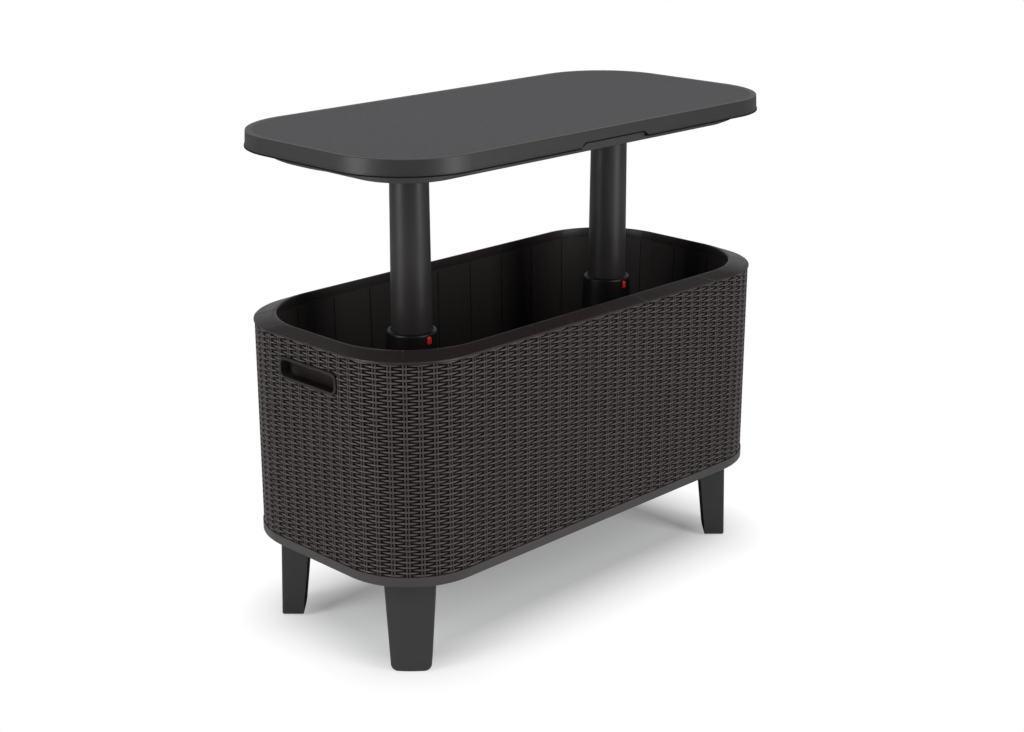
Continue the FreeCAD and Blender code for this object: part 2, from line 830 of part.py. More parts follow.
def make_tub_rim():
    """Rolled ring on the shell's top edge, with a skirt that stands on the liner's ledge."""
    sections = [outline(rim, rim_z)]
    sections += [rim_section(i / rim_facets) for i in range(rim_facets + 1)]
    block = Part.makeLoft(sections, True, True)
    tongue = inset(tub, shell_wall + fit_gap)
    block = block.fuse(slab(tongue, rim_z - rim_tongue_depth, rim_z))
    skirt = inset(opening, -rim_wall)
    channel = slab(inset(tongue, rim_tongue_t), rim_z - rim_tongue_depth, rim_top_z - rim_groove_roof)
    block = block.cut(channel)
    block = block.fuse(slab(skirt, ledge_z, rim_top_z - rim_groove_roof))
    block = block.cut(slab(opening, ledge_z, rim_top_z))
    half_x = opening[0] / 2 + touch
    half_y = opening[1] / 2 + touch
    inner = [
        e
        for e in block.Edges
        if e.BoundBox.ZMin > rim_top_z - touch
        and max(abs(e.BoundBox.XMin), abs(e.BoundBox.XMax)) < half_x
        and max(abs(e.BoundBox.YMin), abs(e.BoundBox.YMax)) < half_y
    ]
    return block.makeFillet(opening_round, inner).removeSplitter()


def make_tub_liner():
    """Plank-grooved walls, floor and top ledge of the cold tub, in one moulding."""
    outer_top = inset(cavity_top, -liner_wall)
    outer_bottom = inset(cavity_bottom, -liner_wall)
    wall = taper(outer_bottom, liner_bottom_z, outer_top, ledge_z)
    ledge_size = inset(opening, -rim_wall - liner_ledge_reach)
    adds = [wall, slab(ledge_size, ledge_z - liner_ledge_t, ledge_z)]
    for x in columns.values():
        for angle in diagonals:
            px, py = ring_point(x, 0, sleeve_screw_ring_r, angle)
            adds.append(rod(px, py, liner_bottom_z - liner_boss_height, liner_bottom_z, base_boss_r))
    for x, y in base_screw_places:
        adds.append(rod(x, y, base_z + base_plate_t, liner_bottom_z, base_boss_r))
    whole = joined(adds)
    whole = whole.cut(taper(cavity_bottom, floor_z, cavity_top, ledge_z))
    cutters = []
    half = plank_groove_width / 2
    low_half = plank_groove_low / 2
    levels = (
        (cavity_bottom, floor_z + plank_groove_foot),
        (cavity_top, ledge_z - liner_ledge_t),
    )
    for i in range(plank_count):
        share = i / plank_count
        rails = []
        for size, z in levels:
            place, inward = plank_place(size, share)
            across = inward.cross(UP)
            points = [
                place + inward + across * half,
                place - inward * plank_groove_depth + across * low_half,
                place - inward * plank_groove_depth - across * low_half,
                place + inward - across * half,
            ]
            points = [p + V(0, 0, z) for p in points]
            rails.append(Part.makePolygon(points + [points[0]]))
        cutters.append(Part.makeLoft(rails, True, True))
    whole = whole.cut(cutters[0].multiFuse(cutters[1:]))
    hole_top = floor_z - screw_skin
    for x in columns.values():
        for angle in diagonals:
            px, py = ring_point(x, 0, sleeve_screw_ring_r, angle)
            depth = liner_wall + liner_boss_height - screw_skin
            whole = whole.cut(rod(px, py, floor_z - depth, floor_z + past, screw_r + screw_gap))
    for x, y in base_screw_places:
        whole = whole.cut(rod(x, y, base_z, hole_top, screw_r + screw_gap))
    drain_r = drain_bore_r + drain_tube_wall + fit_gap
    whole = whole.cut(rod(0, 0, liner_bottom_z - past, floor_z + past, drain_r))
    return whole.removeSplitter()


def leg_axis(corner):
    """Corner centre of the tub's plan, and the outward diagonal in degrees."""
    sx, sy = corner
    centre = V(sx * (tub_length / 2 - tub_corner_r), sy * (tub_width / 2 - tub_corner_r), 0)
    return centre, math.degrees(math.atan2(sy, sx))


def leg_block(shrink, z0, z1, open_inside):
    """Leg outline from z0 to z1, its front bowed outwards along +X."""
    wires = []
    for z in (z0, z1):
        share = z / leg_height
        front = tub_corner_r - leg_set_back + leg_splay * (1 - share) - shrink
        depth = leg_depth_bottom + (leg_depth_top - leg_depth_bottom) * share
        width = leg_width_bottom + (leg_width_top - leg_width_bottom) * share - 2 * shrink
        back = front + shrink - depth - (past if open_inside else 0)
        side = front - leg_front_bow
        half = width / 2
        edges = [
            Part.makeLine(V(back, -half, z), V(side, -half, z)),
            Part.Arc(V(side, -half, z), V(front, 0, z), V(side, half, z)).toShape(),
            Part.makeLine(V(side, half, z), V(back, half, z)),
            Part.makeLine(V(back, half, z), V(back, -half, z)),
        ]
        wires.append(Part.Wire(edges))
    block = Part.makeLoft(wires, True, True)
    half_low = wires[0].BoundBox.YMax
    feet = [
        e
        for e in block.Edges
        if e.BoundBox.ZMax < z0 + touch and abs(abs(e.BoundBox.Center.y) - half_low) < touch
    ]
    return block.makeFillet(leg_foot_round - shrink, feet)


def leg_screw_points(corner):
    centre, angle = leg_axis(corner)
    turn = math.radians(angle)
    middle = tub_corner_r - leg_set_back - leg_depth_top / 2
    out = V(math.cos(turn), math.sin(turn), 0)
    across = V(-out.y, out.x, 0)
    return [centre + out * (middle + u) + across * v for u, v in leg_screw_places]


def make_leg(corner):
    """Channel-shaped leg, open towards the middle, with a plate under the tub."""
    solid = leg_block(0, 0, leg_height, False)
    upright = [
        e
        for e in solid.Edges
        if e.BoundBox.ZLength > leg_height / 2
        and e.BoundBox.XMax > tub_corner_r - leg_set_back - leg_front_bow - past
    ]
    solid = solid.makeFillet(leg_edge_round, upright)
    hollow = leg_block(leg_wall, leg_wall, leg_height - leg_top_plate_t, True)
    body = solid.cut(hollow)
    centre, angle = leg_axis(corner)
    body.rotate(V(0, 0, 0), UP, angle)
    body.translate(centre)
    for place in leg_screw_points(corner):
        low = leg_height - leg_top_plate_t - past
        body = body.cut(rod(place.x, place.y, low, leg_height + past, screw_r + screw_gap))
    return body


def make_leg_screws():
    head_z = leg_height - leg_top_plate_t
    length = leg_top_plate_t + base_plate_t + leg_boss_height - screw_skin
    return [
        screw(place.x, place.y, head_z, length)
        for corner in corners.values()
        for place in leg_screw_points(corner)
    ]


def make_base_panel():
    """Ribbed panel that closes the shell's foot and carries the legs and the liner."""
    plate_size = inset(tub, shell_wall + shell_ledge_width + fit_gap)
    plate_top = base_z + base_plate_t
    plate = slab(plate_size, base_z, plate_top)
    flange_top = base_z + shell_ledge_t + base_flange_t
    flange = slab(inset(tub, shell_wall + fit_gap), base_z + shell_ledge_t, flange_top)
    cut_size = inset(tub, shell_wall + shell_ledge_width + base_flange_overlap)
    flange = flange.cut(slab(cut_size, plate_top, flange_top + past))
    adds = [plate, flange]
    half = base_rib_t / 2
    reach_x = plate_size[0] / 2 - tub_corner_r / 2
    reach_y = cut_size[1] / 2
    for side in (-1, 1):
        y = side * base_rib_y
        x = side * base_rib_x
        adds.append(box(-reach_x, reach_x, y - half, y + half, plate_top, liner_bottom_z))
        adds.append(box(x - half, x + half, -reach_y, reach_y, plate_top, liner_bottom_z))
    for corner in corners.values():
        for place in leg_screw_points(corner):
            adds.append(rod(place.x, place.y, plate_top, plate_top + leg_boss_height, base_boss_r))
    whole = joined(adds)
    for corner in corners.values():
        for place in leg_screw_points(corner):
            top = plate_top + leg_boss_height - screw_skin / 2
            whole = whole.cut(rod(place.x, place.y, base_z - past, top, screw_r + screw_gap))
    for x, y in base_screw_places:
        whole = whole.cut(rod(x, y, base_z - past, plate_top + past, screw_r + screw_gap))
    drain_r = drain_bore_r + drain_tube_wall + fit_gap
    whole = whole.cut(rod(0, 0, base_z - past, plate_top + past, drain_r))
    return whole


def make_base_screws():
    length = liner_bottom_z - base_z
    return [screw(x, y, base_z, length) for x, y in base_screw_places]


tube_bottom_z = base_z - drain_drop
drain_r = drain_bore_r + drain_tube_wall
drain_flange_z = floor_z + drain_seal_t


def make_drain_bush():
    """Flanged outlet through the liner's floor and the base."""
    body = rod(0, 0, tube_bottom_z, drain_flange_z + drain_flange_t, drain_r)
    body = body.fuse(rod(0, 0, drain_flange_z, drain_flange_z + drain_flange_t, drain_flange_r))
    top = drain_flange_z + drain_flange_t
    body = body.cut(rod(0, 0, tube_bottom_z - past, top + past, drain_bore_r))
    return body.removeSplitter()


def make_drain_seal():
    inner = drain_r + fit_gap
    return tube(0, 0, floor_z, drain_flange_z, drain_flange_r - fit_gap, inner)


def make_drain_nut():
    """Hexagon nut under the base."""
    across = nut_across_flats / math.sqrt(3)
    points = [V(*ring_point(0, 0, across, 60 * i), base_z - nut_height) for i in range(7)]
    body = Part.Face(Part.makePolygon(points)).extrude(V(0, 0, nut_height))
    return body.cut(rod(0, 0, base_z - nut_height - past, base_z + past, drain_r + screw_gap))


plug_top_z = tube_bottom_z - plug_gap
plug_stem_r = drain_bore_r - fit_gap
ring_z = plug_top_z + plug_ring_height


def plug_ring(radius, sunk):
    """Round-section ring about the plug's stem, its outside just inside the bore."""
    middle_r = drain_bore_r - running_gap - radius
    return Part.makeTorus(middle_r, radius + sunk, V(0, 0, ring_z), UP)


def make_drain_plug():
    """Push-in bung with a hollow stem and a finger bar."""
    cap = rod(0, 0, plug_top_z - plug_cap_t, plug_top_z, plug_cap_r)
    low = [e for e in cap.Edges if e.BoundBox.ZMax < plug_top_z - plug_cap_t + touch]
    cap = cap.makeFillet(plug_cap_t / 3, low)
    stem = rod(0, 0, plug_top_z, plug_top_z + plug_stem_length, plug_stem_r)
    stem_top = plug_top_z + plug_stem_length
    stem = stem.cut(rod(0, 0, plug_top_z, stem_top + past, plug_stem_r - plug_wall))
    bar_half = plug_bar_reach
    half = plug_grip_t / 2
    low_z = plug_top_z - plug_cap_t - plug_grip_height
    bar = box(-bar_half, bar_half, -half, half, low_z, plug_top_z - plug_cap_t)
    body = cap.fuse(stem).fuse(bar).removeSplitter()
    return body.cut(plug_ring(plug_ring_r, running_gap / 2))


def make_plug_seal():
    return plug_ring(plug_ring_r, 0)


def main():
    os.makedirs("parts", exist_ok=True)
    save("table_top", make_table_top())
    save("table_seal", make_table_seal())
    save("table_underside", make_table_underside())
    save("table_screws", make_table_screws())
    save("column_screws", make_column_screws())
    save("body_shell", make_body_shell())
    save("tub_rim", make_tub_rim())
    save("tub_liner", make_tub_liner())
    save("base_panel", make_base_panel())
    save("base_screws", make_base_screws())
    save("sleeve_screws", make_sleeve_screws())
    save("collar_screws", make_collar_screws())
    save("leg_screws", make_leg_screws())
    save("drain_bush", make_drain_bush())
    save("drain_seal", make_drain_seal())
    save("drain_nut", make_drain_nut())
    save("drain_plug", make_drain_plug())
    save("plug_seal", make_plug_seal())
    for side, x in columns.items():
        save("column_" + side, make_column(x))
        save("guide_bush_" + side, make_guide_bush(x))
        save("sleeve_" + side, make_sleeve(x))
        save("collar_" + side, make_collar(x))
        save("latch_lever_" + side, make_latch_lever(x))
        save("latch_pin_" + side, make_latch_pin(x))
        save("latch_spring_" + side, make_latch_spring(x))
        save("handle_pocket_" + side, make_handle_pocket(1 if x > 0 else -1))
    for name, corner in corners.items():
        save("leg_" + name, make_leg(corner))
    print("lift travel", round(lift_travel, 2), "table top", round(table_top_z, 2))


main()
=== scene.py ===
"""Looks of the cooler table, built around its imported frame.

Metres, +Z up, +X along the long side, the front at -Y and the floor at z = 0.
"""
import json
import math

import bpy
import numpy as np
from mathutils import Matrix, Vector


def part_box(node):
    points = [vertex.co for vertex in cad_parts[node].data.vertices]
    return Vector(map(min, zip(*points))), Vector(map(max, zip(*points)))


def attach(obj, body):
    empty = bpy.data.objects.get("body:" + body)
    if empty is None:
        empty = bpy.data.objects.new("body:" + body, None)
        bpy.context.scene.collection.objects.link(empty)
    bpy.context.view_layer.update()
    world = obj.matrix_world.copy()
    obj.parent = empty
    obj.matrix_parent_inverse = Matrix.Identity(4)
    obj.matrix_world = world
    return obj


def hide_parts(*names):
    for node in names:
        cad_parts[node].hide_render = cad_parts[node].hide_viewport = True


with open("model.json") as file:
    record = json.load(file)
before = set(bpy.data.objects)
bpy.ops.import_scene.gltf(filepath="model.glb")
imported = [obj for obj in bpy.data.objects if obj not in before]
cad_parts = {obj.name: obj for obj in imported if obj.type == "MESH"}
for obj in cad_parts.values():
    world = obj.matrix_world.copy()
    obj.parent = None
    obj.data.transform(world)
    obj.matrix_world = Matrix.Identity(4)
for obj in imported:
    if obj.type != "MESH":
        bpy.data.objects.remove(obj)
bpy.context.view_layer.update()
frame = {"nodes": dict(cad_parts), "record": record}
nodes = frame["nodes"]


def top_of(node):
    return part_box(node)[1].z


def bottom_of(node):
    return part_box(node)[0].z


def plan_of(node, radius):
    """Length and width of a node's box, with its corner radius."""
    low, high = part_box(node)
    return (high.x - low.x, high.y - low.y, radius)


def middle_x(node):
    low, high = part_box(node)
    return (low.x + high.x) / 2


# Plan sizes of the main outlines: length, width and corner radius
TABLE = plan_of("table_top", 0.1257)
TUB = (0.819, 0.395, 0.118)
RIM = plan_of("tub_rim", 0.1191)
COLUMNS = {side: middle_x("collar_" + side) for side in ("left", "right")}

# Levels read from the frame
base_z = bottom_of("body_shell")
rim_z = top_of("body_shell")
rim_top_z = top_of("tub_rim")
collar_top_z = top_of("collar_left")

# Mouths of the grips in the end walls; a grip's edge covers the wall round its mouth
GRIP_R = 0.012
GRIP_COVER = 0.001
MOUTH_R = GRIP_R - GRIP_COVER
END_ZONE = 0.03
grip_low, grip_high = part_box("handle_pocket_left")
grip_centre_z = (grip_low.z + grip_high.z) / 2
grip_half_y = (grip_high.y - grip_low.y) / 2 - GRIP_COVER
grip_half_z = (grip_high.z - grip_low.z) / 2 - GRIP_COVER

# A grip takes on the colour of its edge from inside to outside the tub's outline. Inside, it
# is painted with shade up to a place behind the middle, and painted lighter from there to its
# rear end, as if lit.
GRIP_BLEND = (-0.001, 0.0008)
GRIP_LIT_FROM = 0.034


# Outlines: rounded rectangles of length, width and corner radius


def inset(size, amount):
    """The same rounded rectangle, drawn in on every side."""
    length, width, radius = size
    return (length - 2 * amount, width - 2 * amount, radius - amount)


def stretches(size):
    """Lines and arcs of a rounded rectangle: kind, run, start or centre, and direction.

    They start in the middle of the rear side and go towards +X, clockwise from above.
    """
    length, width, radius = size
    hx = length / 2 - radius
    hy = width / 2 - radius
    quarter = math.pi / 2 * radius
    return [
        ("line", hx, (0, hy + radius), (1, 0)),
        ("arc", quarter, (hx, hy), (0, 1)),
        ("line", 2 * hy, (hx + radius, hy), (0, -1)),
        ("arc", quarter, (hx, -hy), (1, 0)),
        ("line", 2 * hx, (hx, -hy - radius), (-1, 0)),
        ("arc", quarter, (-hx, -hy), (0, -1)),
        ("line", 2 * hy, (-hx - radius, -hy), (0, 1)),
        ("arc", quarter, (-hx, hy), (-1, 0)),
        ("line", hx, (-hx, hy + radius), (1, 0)),
    ]


def perimeter(size):
    return sum(run for _, run, _, _ in stretches(size))


def marks_at(size, ways):
    """Stretch number and share of it at each distance round a rounded rectangle."""
    runs = np.array([run for _, run, _, _ in stretches(size)])
    ends = np.cumsum(runs)
    ways = np.asarray(ways, float) % ends[-1]
    which = np.minimum(np.searchsorted(ends, ways, side="right"), len(runs) - 1)
    return which, (ways - (ends - runs)[which]) / runs[which]


def places_at(size, marks):
    """Points and outward directions at marks on a rounded rectangle."""
    which, share = marks
    xy = np.zeros((len(which), 2))
    normal = np.zeros((len(which), 2))
    radius = size[2]
    for i, (kind, run, (px, py), (dx, dy)) in enumerate(stretches(size)):
        chosen = which == i
        if kind == "line":
            along = share[chosen] * run
            xy[chosen] = np.stack([px + dx * along, py + dy * along], 1)
            normal[chosen] = (-dy, dx)
        else:
            turn = share[chosen] * math.pi / 2
            nx = dx * np.cos(turn) + dy * np.sin(turn)
            ny = dy * np.cos(turn) - dx * np.sin(turn)
            normal[chosen] = np.stack([nx, ny], 1)
            xy[chosen] = np.array([px, py]) + radius * normal[chosen]
    return xy, normal


def around(size, ways):
    return places_at(size, marks_at(size, ways))


# Materials


def srgb(r, g, b):
    """Linear colour from sRGB values of 0 to 255."""

    def linear(v):
        v /= 255
        return v / 12.92 if v <= 0.04045 else ((v + 0.055) / 1.055) ** 2.4

    return (linear(r), linear(g), linear(b), 1.0)


def tinted(colour, share):
    """The colour, lighter or darker by a share."""
    return [min(c * share, 1.0) for c in colour[:3]] + [1.0]


class Nodes:
    """Small helper that adds and links the shader nodes of a material or a world."""

    def __init__(self, owner, output="ShaderNodeOutputMaterial"):
        self.owner = owner
        owner.use_nodes = True
        self.tree = owner.node_tree
        self.tree.nodes.clear()
        self.out = self.add(output)

    def add(self, kind, values=None, **settings):
        node = self.tree.nodes.new(kind)
        for key, value in settings.items():
            setattr(node, key, value)
        for key, value in (values or {}).items():
            self.feed(node, key, value)
        return node

    def feed(self, node, key, value):
        """Links a socket into an input, or sets the input's own value."""
        if isinstance(value, bpy.types.NodeSocket):
            self.tree.links.new(value, node.inputs[key])
        else:
            node.inputs[key].default_value = value

    def place(self, scale=(1, 1, 1), where=None):
        """Object coordinates in metres, or other ones, stretched by scale."""
        if where is None:
            where = self.add("ShaderNodeTexCoord").outputs["Object"]
        return self.add("ShaderNodeMapping", {"Vector": where, "Scale": scale}).outputs["Vector"]

    def noise(self, scale, detail=2.0, rough=0.5, stretch=(1, 1, 1), where=None):
        values = {
            "Vector": self.place(stretch, where),
            "Scale": scale,
            "Detail": detail,
            "Roughness": rough,
        }
        return self.add("ShaderNodeTexNoise", values).outputs["Fac"]

    def cells(self, scale, smooth):
        values = {"Vector": self.place(), "Scale": scale, "Smoothness": smooth}
        return self.add("ShaderNodeTexVoronoi", values, feature="SMOOTH_F1").outputs["Distance"]

    def span(self, value, low, high, to_low, to_high, curve="LINEAR"):
        """Maps value from low..high to to_low..to_high."""
        values = {
            "Value": value,
            "From Min": low,
            "From Max": high,
            "To Min": to_low,
            "To Max": to_high,
        }
        return self.add("ShaderNodeMapRange", values, interpolation_type=curve).outputs["Result"]

    def mix(self, share, first, second, blend="MIX"):
        values = {0: share, 6: first, 7: second}
        return self.add("ShaderNodeMix", values, data_type="RGBA", blend_type=blend).outputs[2]

    def math(self, operation, first, second=0.5):
        return self.add("ShaderNodeMath", {0: first, 1: second}, operation=operation).outputs[0]

    def split(self, vector):
        return self.add("ShaderNodeSeparateXYZ", {"Vector": vector}).outputs

    def stored(self, name):
        """A value kept on the mesh's points."""
        return self.add("ShaderNodeAttribute", attribute_name=name).outputs["Fac"]

    def shaded(self, colour, factor):
        """The colour, multiplied by a grey factor."""
        grey = self.add("ShaderNodeCombineColor", {0: factor, 1: factor, 2: factor}).outputs[0]
        return self.mix(1.0, colour, grey, "MULTIPLY")

    def bump(self, height, distance):
        values = {"Height": height, "Distance": distance}
        return self.add("ShaderNodeBump", values).outputs["Normal"]

    def seen_by_camera(self, other, camera):
        """One shader for the camera's own rays and another for the rest."""
        share = self.add("ShaderNodeLightPath").outputs["Is Camera Ray"]
        values = {0: share, 1: other.outputs[0], 2: camera.outputs[0]}
        return self.add("ShaderNodeMixShader", values)

    def show(self, shader):
        """Makes a shader the surface of the material or world."""
        self.tree.links.new(shader.outputs[0], self.out.inputs["Surface"])
        return self.owner

    def surface(self, **values):
        names = {key.replace("_", " "): value for key, value in values.items()}
        return self.show(self.add("ShaderNodeBsdfPrincipled", names))


def new_material(name):
    return Nodes(bpy.data.materials.new(name))


def plastic(
    name, colour, roughness, grain=900.0, depth=0.00004, mottle=0.1, scuffs=0.08, shine=0.5
):
    """Moulded plastic: a fine surface grain, faint mottling, and patches rubbed smoother."""
    m = new_material(name)
    cloud = m.span(m.noise(9.0, 5.0, 0.6), 0.35, 0.65, 0.0, 1.0)
    shade = m.mix(cloud, tinted(colour, 1 - mottle), tinted(colour, 1 + mottle))
    rub = m.span(m.noise(28.0, 4.0, 0.65), 0.35, 0.7, -scuffs / 2, scuffs / 2)
    gloss = m.math("ADD", rub, roughness)
    normal = m.bump(m.noise(grain, 3.0, 0.55), depth)
    return m.surface(Base_Color=shade, Roughness=gloss, Specular_IOR_Level=shine, Normal=normal)


def edge_distance(m, size):
    """How far a point lies inside a rounded rectangle, seen from above."""
    length, width, radius = size
    place = m.split(m.place())
    beyond = []
    for axis, half in (("X", length / 2), ("Y", width / 2)):
        away = m.math("ABSOLUTE", place[axis])
        away = m.math("MAXIMUM", m.math("SUBTRACT", away, half - radius), 0.0)
        beyond.append(m.math("MULTIPLY", away, away))
    reach = m.math("SQRT", m.math("ADD", *beyond))
    return m.math("SUBTRACT", radius, reach)


# Table surface: the widths of its smooth border and of the rounded edge inside it
TABLE_BORDER = 0.0105
TABLE_EDGE = 0.0045
BORDER_BLUR = 0.001
EDGE_HEIGHT = 2.0


def table_plastic(name, colour, side, roughness):
    """Table surface: finely pebbled inside a smooth border that follows the edge."""
    m = new_material(name)
    normal = m.add("ShaderNodeNewGeometry").outputs["Normal"]
    level = m.span(m.split(normal)["Z"], 0.9, 0.98, 0.0, 1.0)
    colour = m.mix(level, side, colour)
    inward = edge_distance(m, TABLE)
    field = m.span(inward, TABLE_BORDER - BORDER_BLUR, TABLE_BORDER + BORDER_BLUR, 0.0, 1.0)
    field = m.math("MULTIPLY", field, level)
    pebble = m.cells(260.0, 0.5)
    fine = m.noise(900.0, 2.0, 0.5)
    height = m.math("ADD", pebble, m.math("MULTIPLY", fine, 0.4))
    height = m.math("MULTIPLY", height, field)
    crown = m.span(inward, 0.0, TABLE_EDGE, 0.0, 1.0)
    crown = m.math("MULTIPLY", crown, m.math("SUBTRACT", 2.0, crown))
    crown = m.math("MULTIPLY", m.math("MULTIPLY", crown, level), EDGE_HEIGHT)
    height = m.math("ADD", height, crown)
    cloud = m.span(m.noise(6.0, 5.0, 0.6), 0.35, 0.65, 0.96, 1.04)
    grain = m.span(m.noise(230.0, 3.0, 0.75), 0.35, 0.65, 0.5, 1.5)
    grain = m.mix(field, (1, 1, 1, 1), m.shaded((1, 1, 1, 1), grain))
    shade = m.mix(1.0, m.shaded(colour, cloud), grain, "MULTIPLY")
    speck = m.math("MULTIPLY", m.span(pebble, 0.15, 0.75, 0.0, 1.0), field)
    shade = m.mix(m.math("MULTIPLY", speck, 0.35), shade, m.shaded(colour, 1.5))
    gloss = m.span(field, 0.0, 1.0, roughness - 0.07, roughness)
    return m.surface(Base_Color=shade, Roughness=gloss, Normal=m.bump(height, 0.0003))


def woven_plastic(name, colour, crown_highlight, painted_shade, roughness):
    """Moulded weave: a painted highlight on the strands' crowns, painted shade near black down in
    the gaps.
    """
    m = new_material(name)
    depth = m.stored("depth")
    cloud = m.span(m.noise(40.0, 4.0, 0.6), 0.3, 0.7, 0.9, 1.1)
    streak = m.span(m.noise(300.0, 3.0, 0.6, (1, 1, 5)), 0.3, 0.7, 0.86, 1.14)
    # Painted highlight: the crowns are lighter by the stored share
    crown = m.mix(m.stored("crown_highlight"), colour, crown_highlight)
    # Painted shade: near black down in the gaps, by the stored depth
    shade = m.mix(m.span(depth, 0.3, 0.82, 0.0, 1.0), crown, painted_shade)
    shade = m.shaded(shade, m.math("MULTIPLY", cloud, streak))
    gloss = m.span(depth, 0.0, 0.8, roughness, 0.9)
    normal = m.bump(m.noise(1300.0, 3.0, 0.6), 0.00004)
    return m.surface(Base_Color=shade, Roughness=gloss, Normal=normal)


def grained_plastic(name, colour, roughness, ring=False, stretch=(1, 1, 0.06), depth=0.00012):
    """Plastic with a moulded wood grain: long faint streaks, darker in their valleys.

    On a ring, the grain follows the ways round and across it that its mesh keeps.
    """
    m = new_material(name)
    where = None
    if ring:
        ways = {0: m.stored("along"), 1: m.stored("across")}
        where = m.add("ShaderNodeCombineXYZ", ways).outputs[0]
    wander = m.noise(30.0, 2.0, 0.5, stretch, where)
    streak = m.noise(520.0, 4.0, 0.62, stretch, where)
    broad = m.noise(90.0, 3.0, 0.6, stretch, where)
    height = m.math("ADD", streak, m.math("MULTIPLY", broad, 0.8))
    height = m.math("ADD", height, m.math("MULTIPLY", wander, 0.5))
    shade = m.shaded(colour, m.span(height, 0.8, 1.5, 0.72, 1.28))
    gloss = m.span(height, 0.8, 1.5, roughness + 0.1, roughness - 0.06)
    return m.surface(Base_Color=shade, Roughness=gloss, Normal=m.bump(height, depth))


def grip_plastic(name, colour, painted_shade, lit, roughness):
    """Grip cup: its own colour round the mouth; inside, painted shade, painted lighter to the
    rear.
    """
    m = new_material(name)
    place = m.split(m.place())
    away = m.math("ABSOLUTE", place["X"])
    start, end = (TUB[0] / 2 + step for step in GRIP_BLEND)
    share = m.span(away, start, end, 0.0, 1.0)
    cloud = m.span(m.noise(40.0, 4.0, 0.6), 0.3, 0.7, 0.92, 1.08)
    # Painted light: lighter from here towards the cup's rear end, with painted shade in front of
    # it
    rearward = m.span(place["Y"], GRIP_LIT_FROM, grip_high.y, 0.0, 1.0)
    shade = m.shaded(m.mix(share, m.mix(rearward, painted_shade, lit), colour), cloud)
    normal = m.bump(m.noise(900.0), 0.00003)
    return m.surface(Base_Color=shade, Roughness=roughness, Specular_IOR_Level=0.2, Normal=normal)


def wall_shade_plastic(name, colour):
    """Dull plastic painted near black as shade, down behind the weave."""
    m = new_material(name)
    shade = m.shaded(colour, m.span(m.noise(300.0), 0.3, 0.7, 0.6, 1.4))
    return m.surface(Base_Color=shade, Roughness=0.9, Specular_IOR_Level=0.08)


def steel(name):
    m = new_material(name)
    shade = m.mix(m.noise(120.0, 4.0), srgb(150, 150, 152), srgb(196, 196, 198))
    gloss = m.span(m.noise(400.0, 2.0, 0.5, (1, 1, 8)), 0.3, 0.7, 0.22, 0.42)
    normal = m.bump(m.noise(700.0, 2.0, 0.5, (1, 1, 6)), 0.00002)
    return m.surface(Base_Color=shade, Roughness=gloss, Metallic=1.0, Normal=normal)


def rubber(name, colour):
    m = new_material(name)
    shade = m.shaded(colour, m.span(m.noise(120.0, 3.0), 0.3, 0.7, 0.8, 1.2))
    normal = m.bump(m.noise(500.0, 3.0, 0.55), 0.00006)
    return m.surface(Base_Color=shade, Roughness=0.85, Specular_IOR_Level=0.15, Normal=normal)


# One finish for each material slot of the frame
finishes = {
    "table_plastic": table_plastic("table plastic", srgb(48, 48, 51), srgb(48, 48, 47), 0.48),
    "underside_plastic": plastic("underside plastic", srgb(56, 54, 53), 0.42),
    "column_plastic": plastic("column plastic", srgb(49, 46, 45), 0.4, 1200.0, 0.00002, 0.05),
    "bush_plastic": plastic("bush plastic", srgb(60, 59, 58), 0.4),
    "collar_plastic": plastic(
        "collar plastic", srgb(19, 18, 18), 0.42, grain=1000.0, depth=0.00003, shine=0.3
    ),
    "latch_red": plastic("latch red", srgb(228, 50, 38), 0.34, 1500.0, 0.00001, 0.04, 0.05),
    # Grip colours: its edge, painted shade inside the cup, and painted light at its rear end
    "shell_plastic": grip_plastic(
        "grip plastic", srgb(43, 38, 36), srgb(25, 17, 15), srgb(54, 53, 50), 0.45
    ),
    "liner_plastic": grained_plastic("liner plastic", srgb(34, 27, 25), 0.5),
    "base_plastic": plastic("base plastic", srgb(38, 37, 37), 0.5),
    "leg_plastic": plastic("leg plastic", srgb(49, 48, 49), 0.4, 1000.0, 0.00003),
    "drain_plastic": plastic("drain plastic", srgb(34, 34, 34), 0.45),
    "seal_rubber": rubber("seal rubber", srgb(11, 11, 11)),
    "screw_steel": steel("screw steel"),
    "spring_steel": steel("spring steel"),
}
# The weave's plastic, its painted highlight for the crowns and its painted shade for the gaps
weave_plastic = woven_plastic(
    "woven plastic", srgb(60, 52, 50), srgb(100, 92, 88), srgb(3, 2, 2), 0.36
)
# The wall behind the weave is painted near black as shade
painted_wall_shade = wall_shade_plastic("wall painted shade", srgb(9, 8, 8))
band_plastic = plastic("band plastic", srgb(64, 59, 57), 0.42, 900.0, 0.00003, 0.06)
rim_plastic = grained_plastic("rim plastic", srgb(36, 28, 26), 0.36, True, (0.06, 1, 1), 0.00006)

for row in frame["record"]["subparts"]:
    slots = nodes[row["node"]].data.materials
    slots.clear()
    slots.append(finishes[row["material_slot"]])


# Meshes


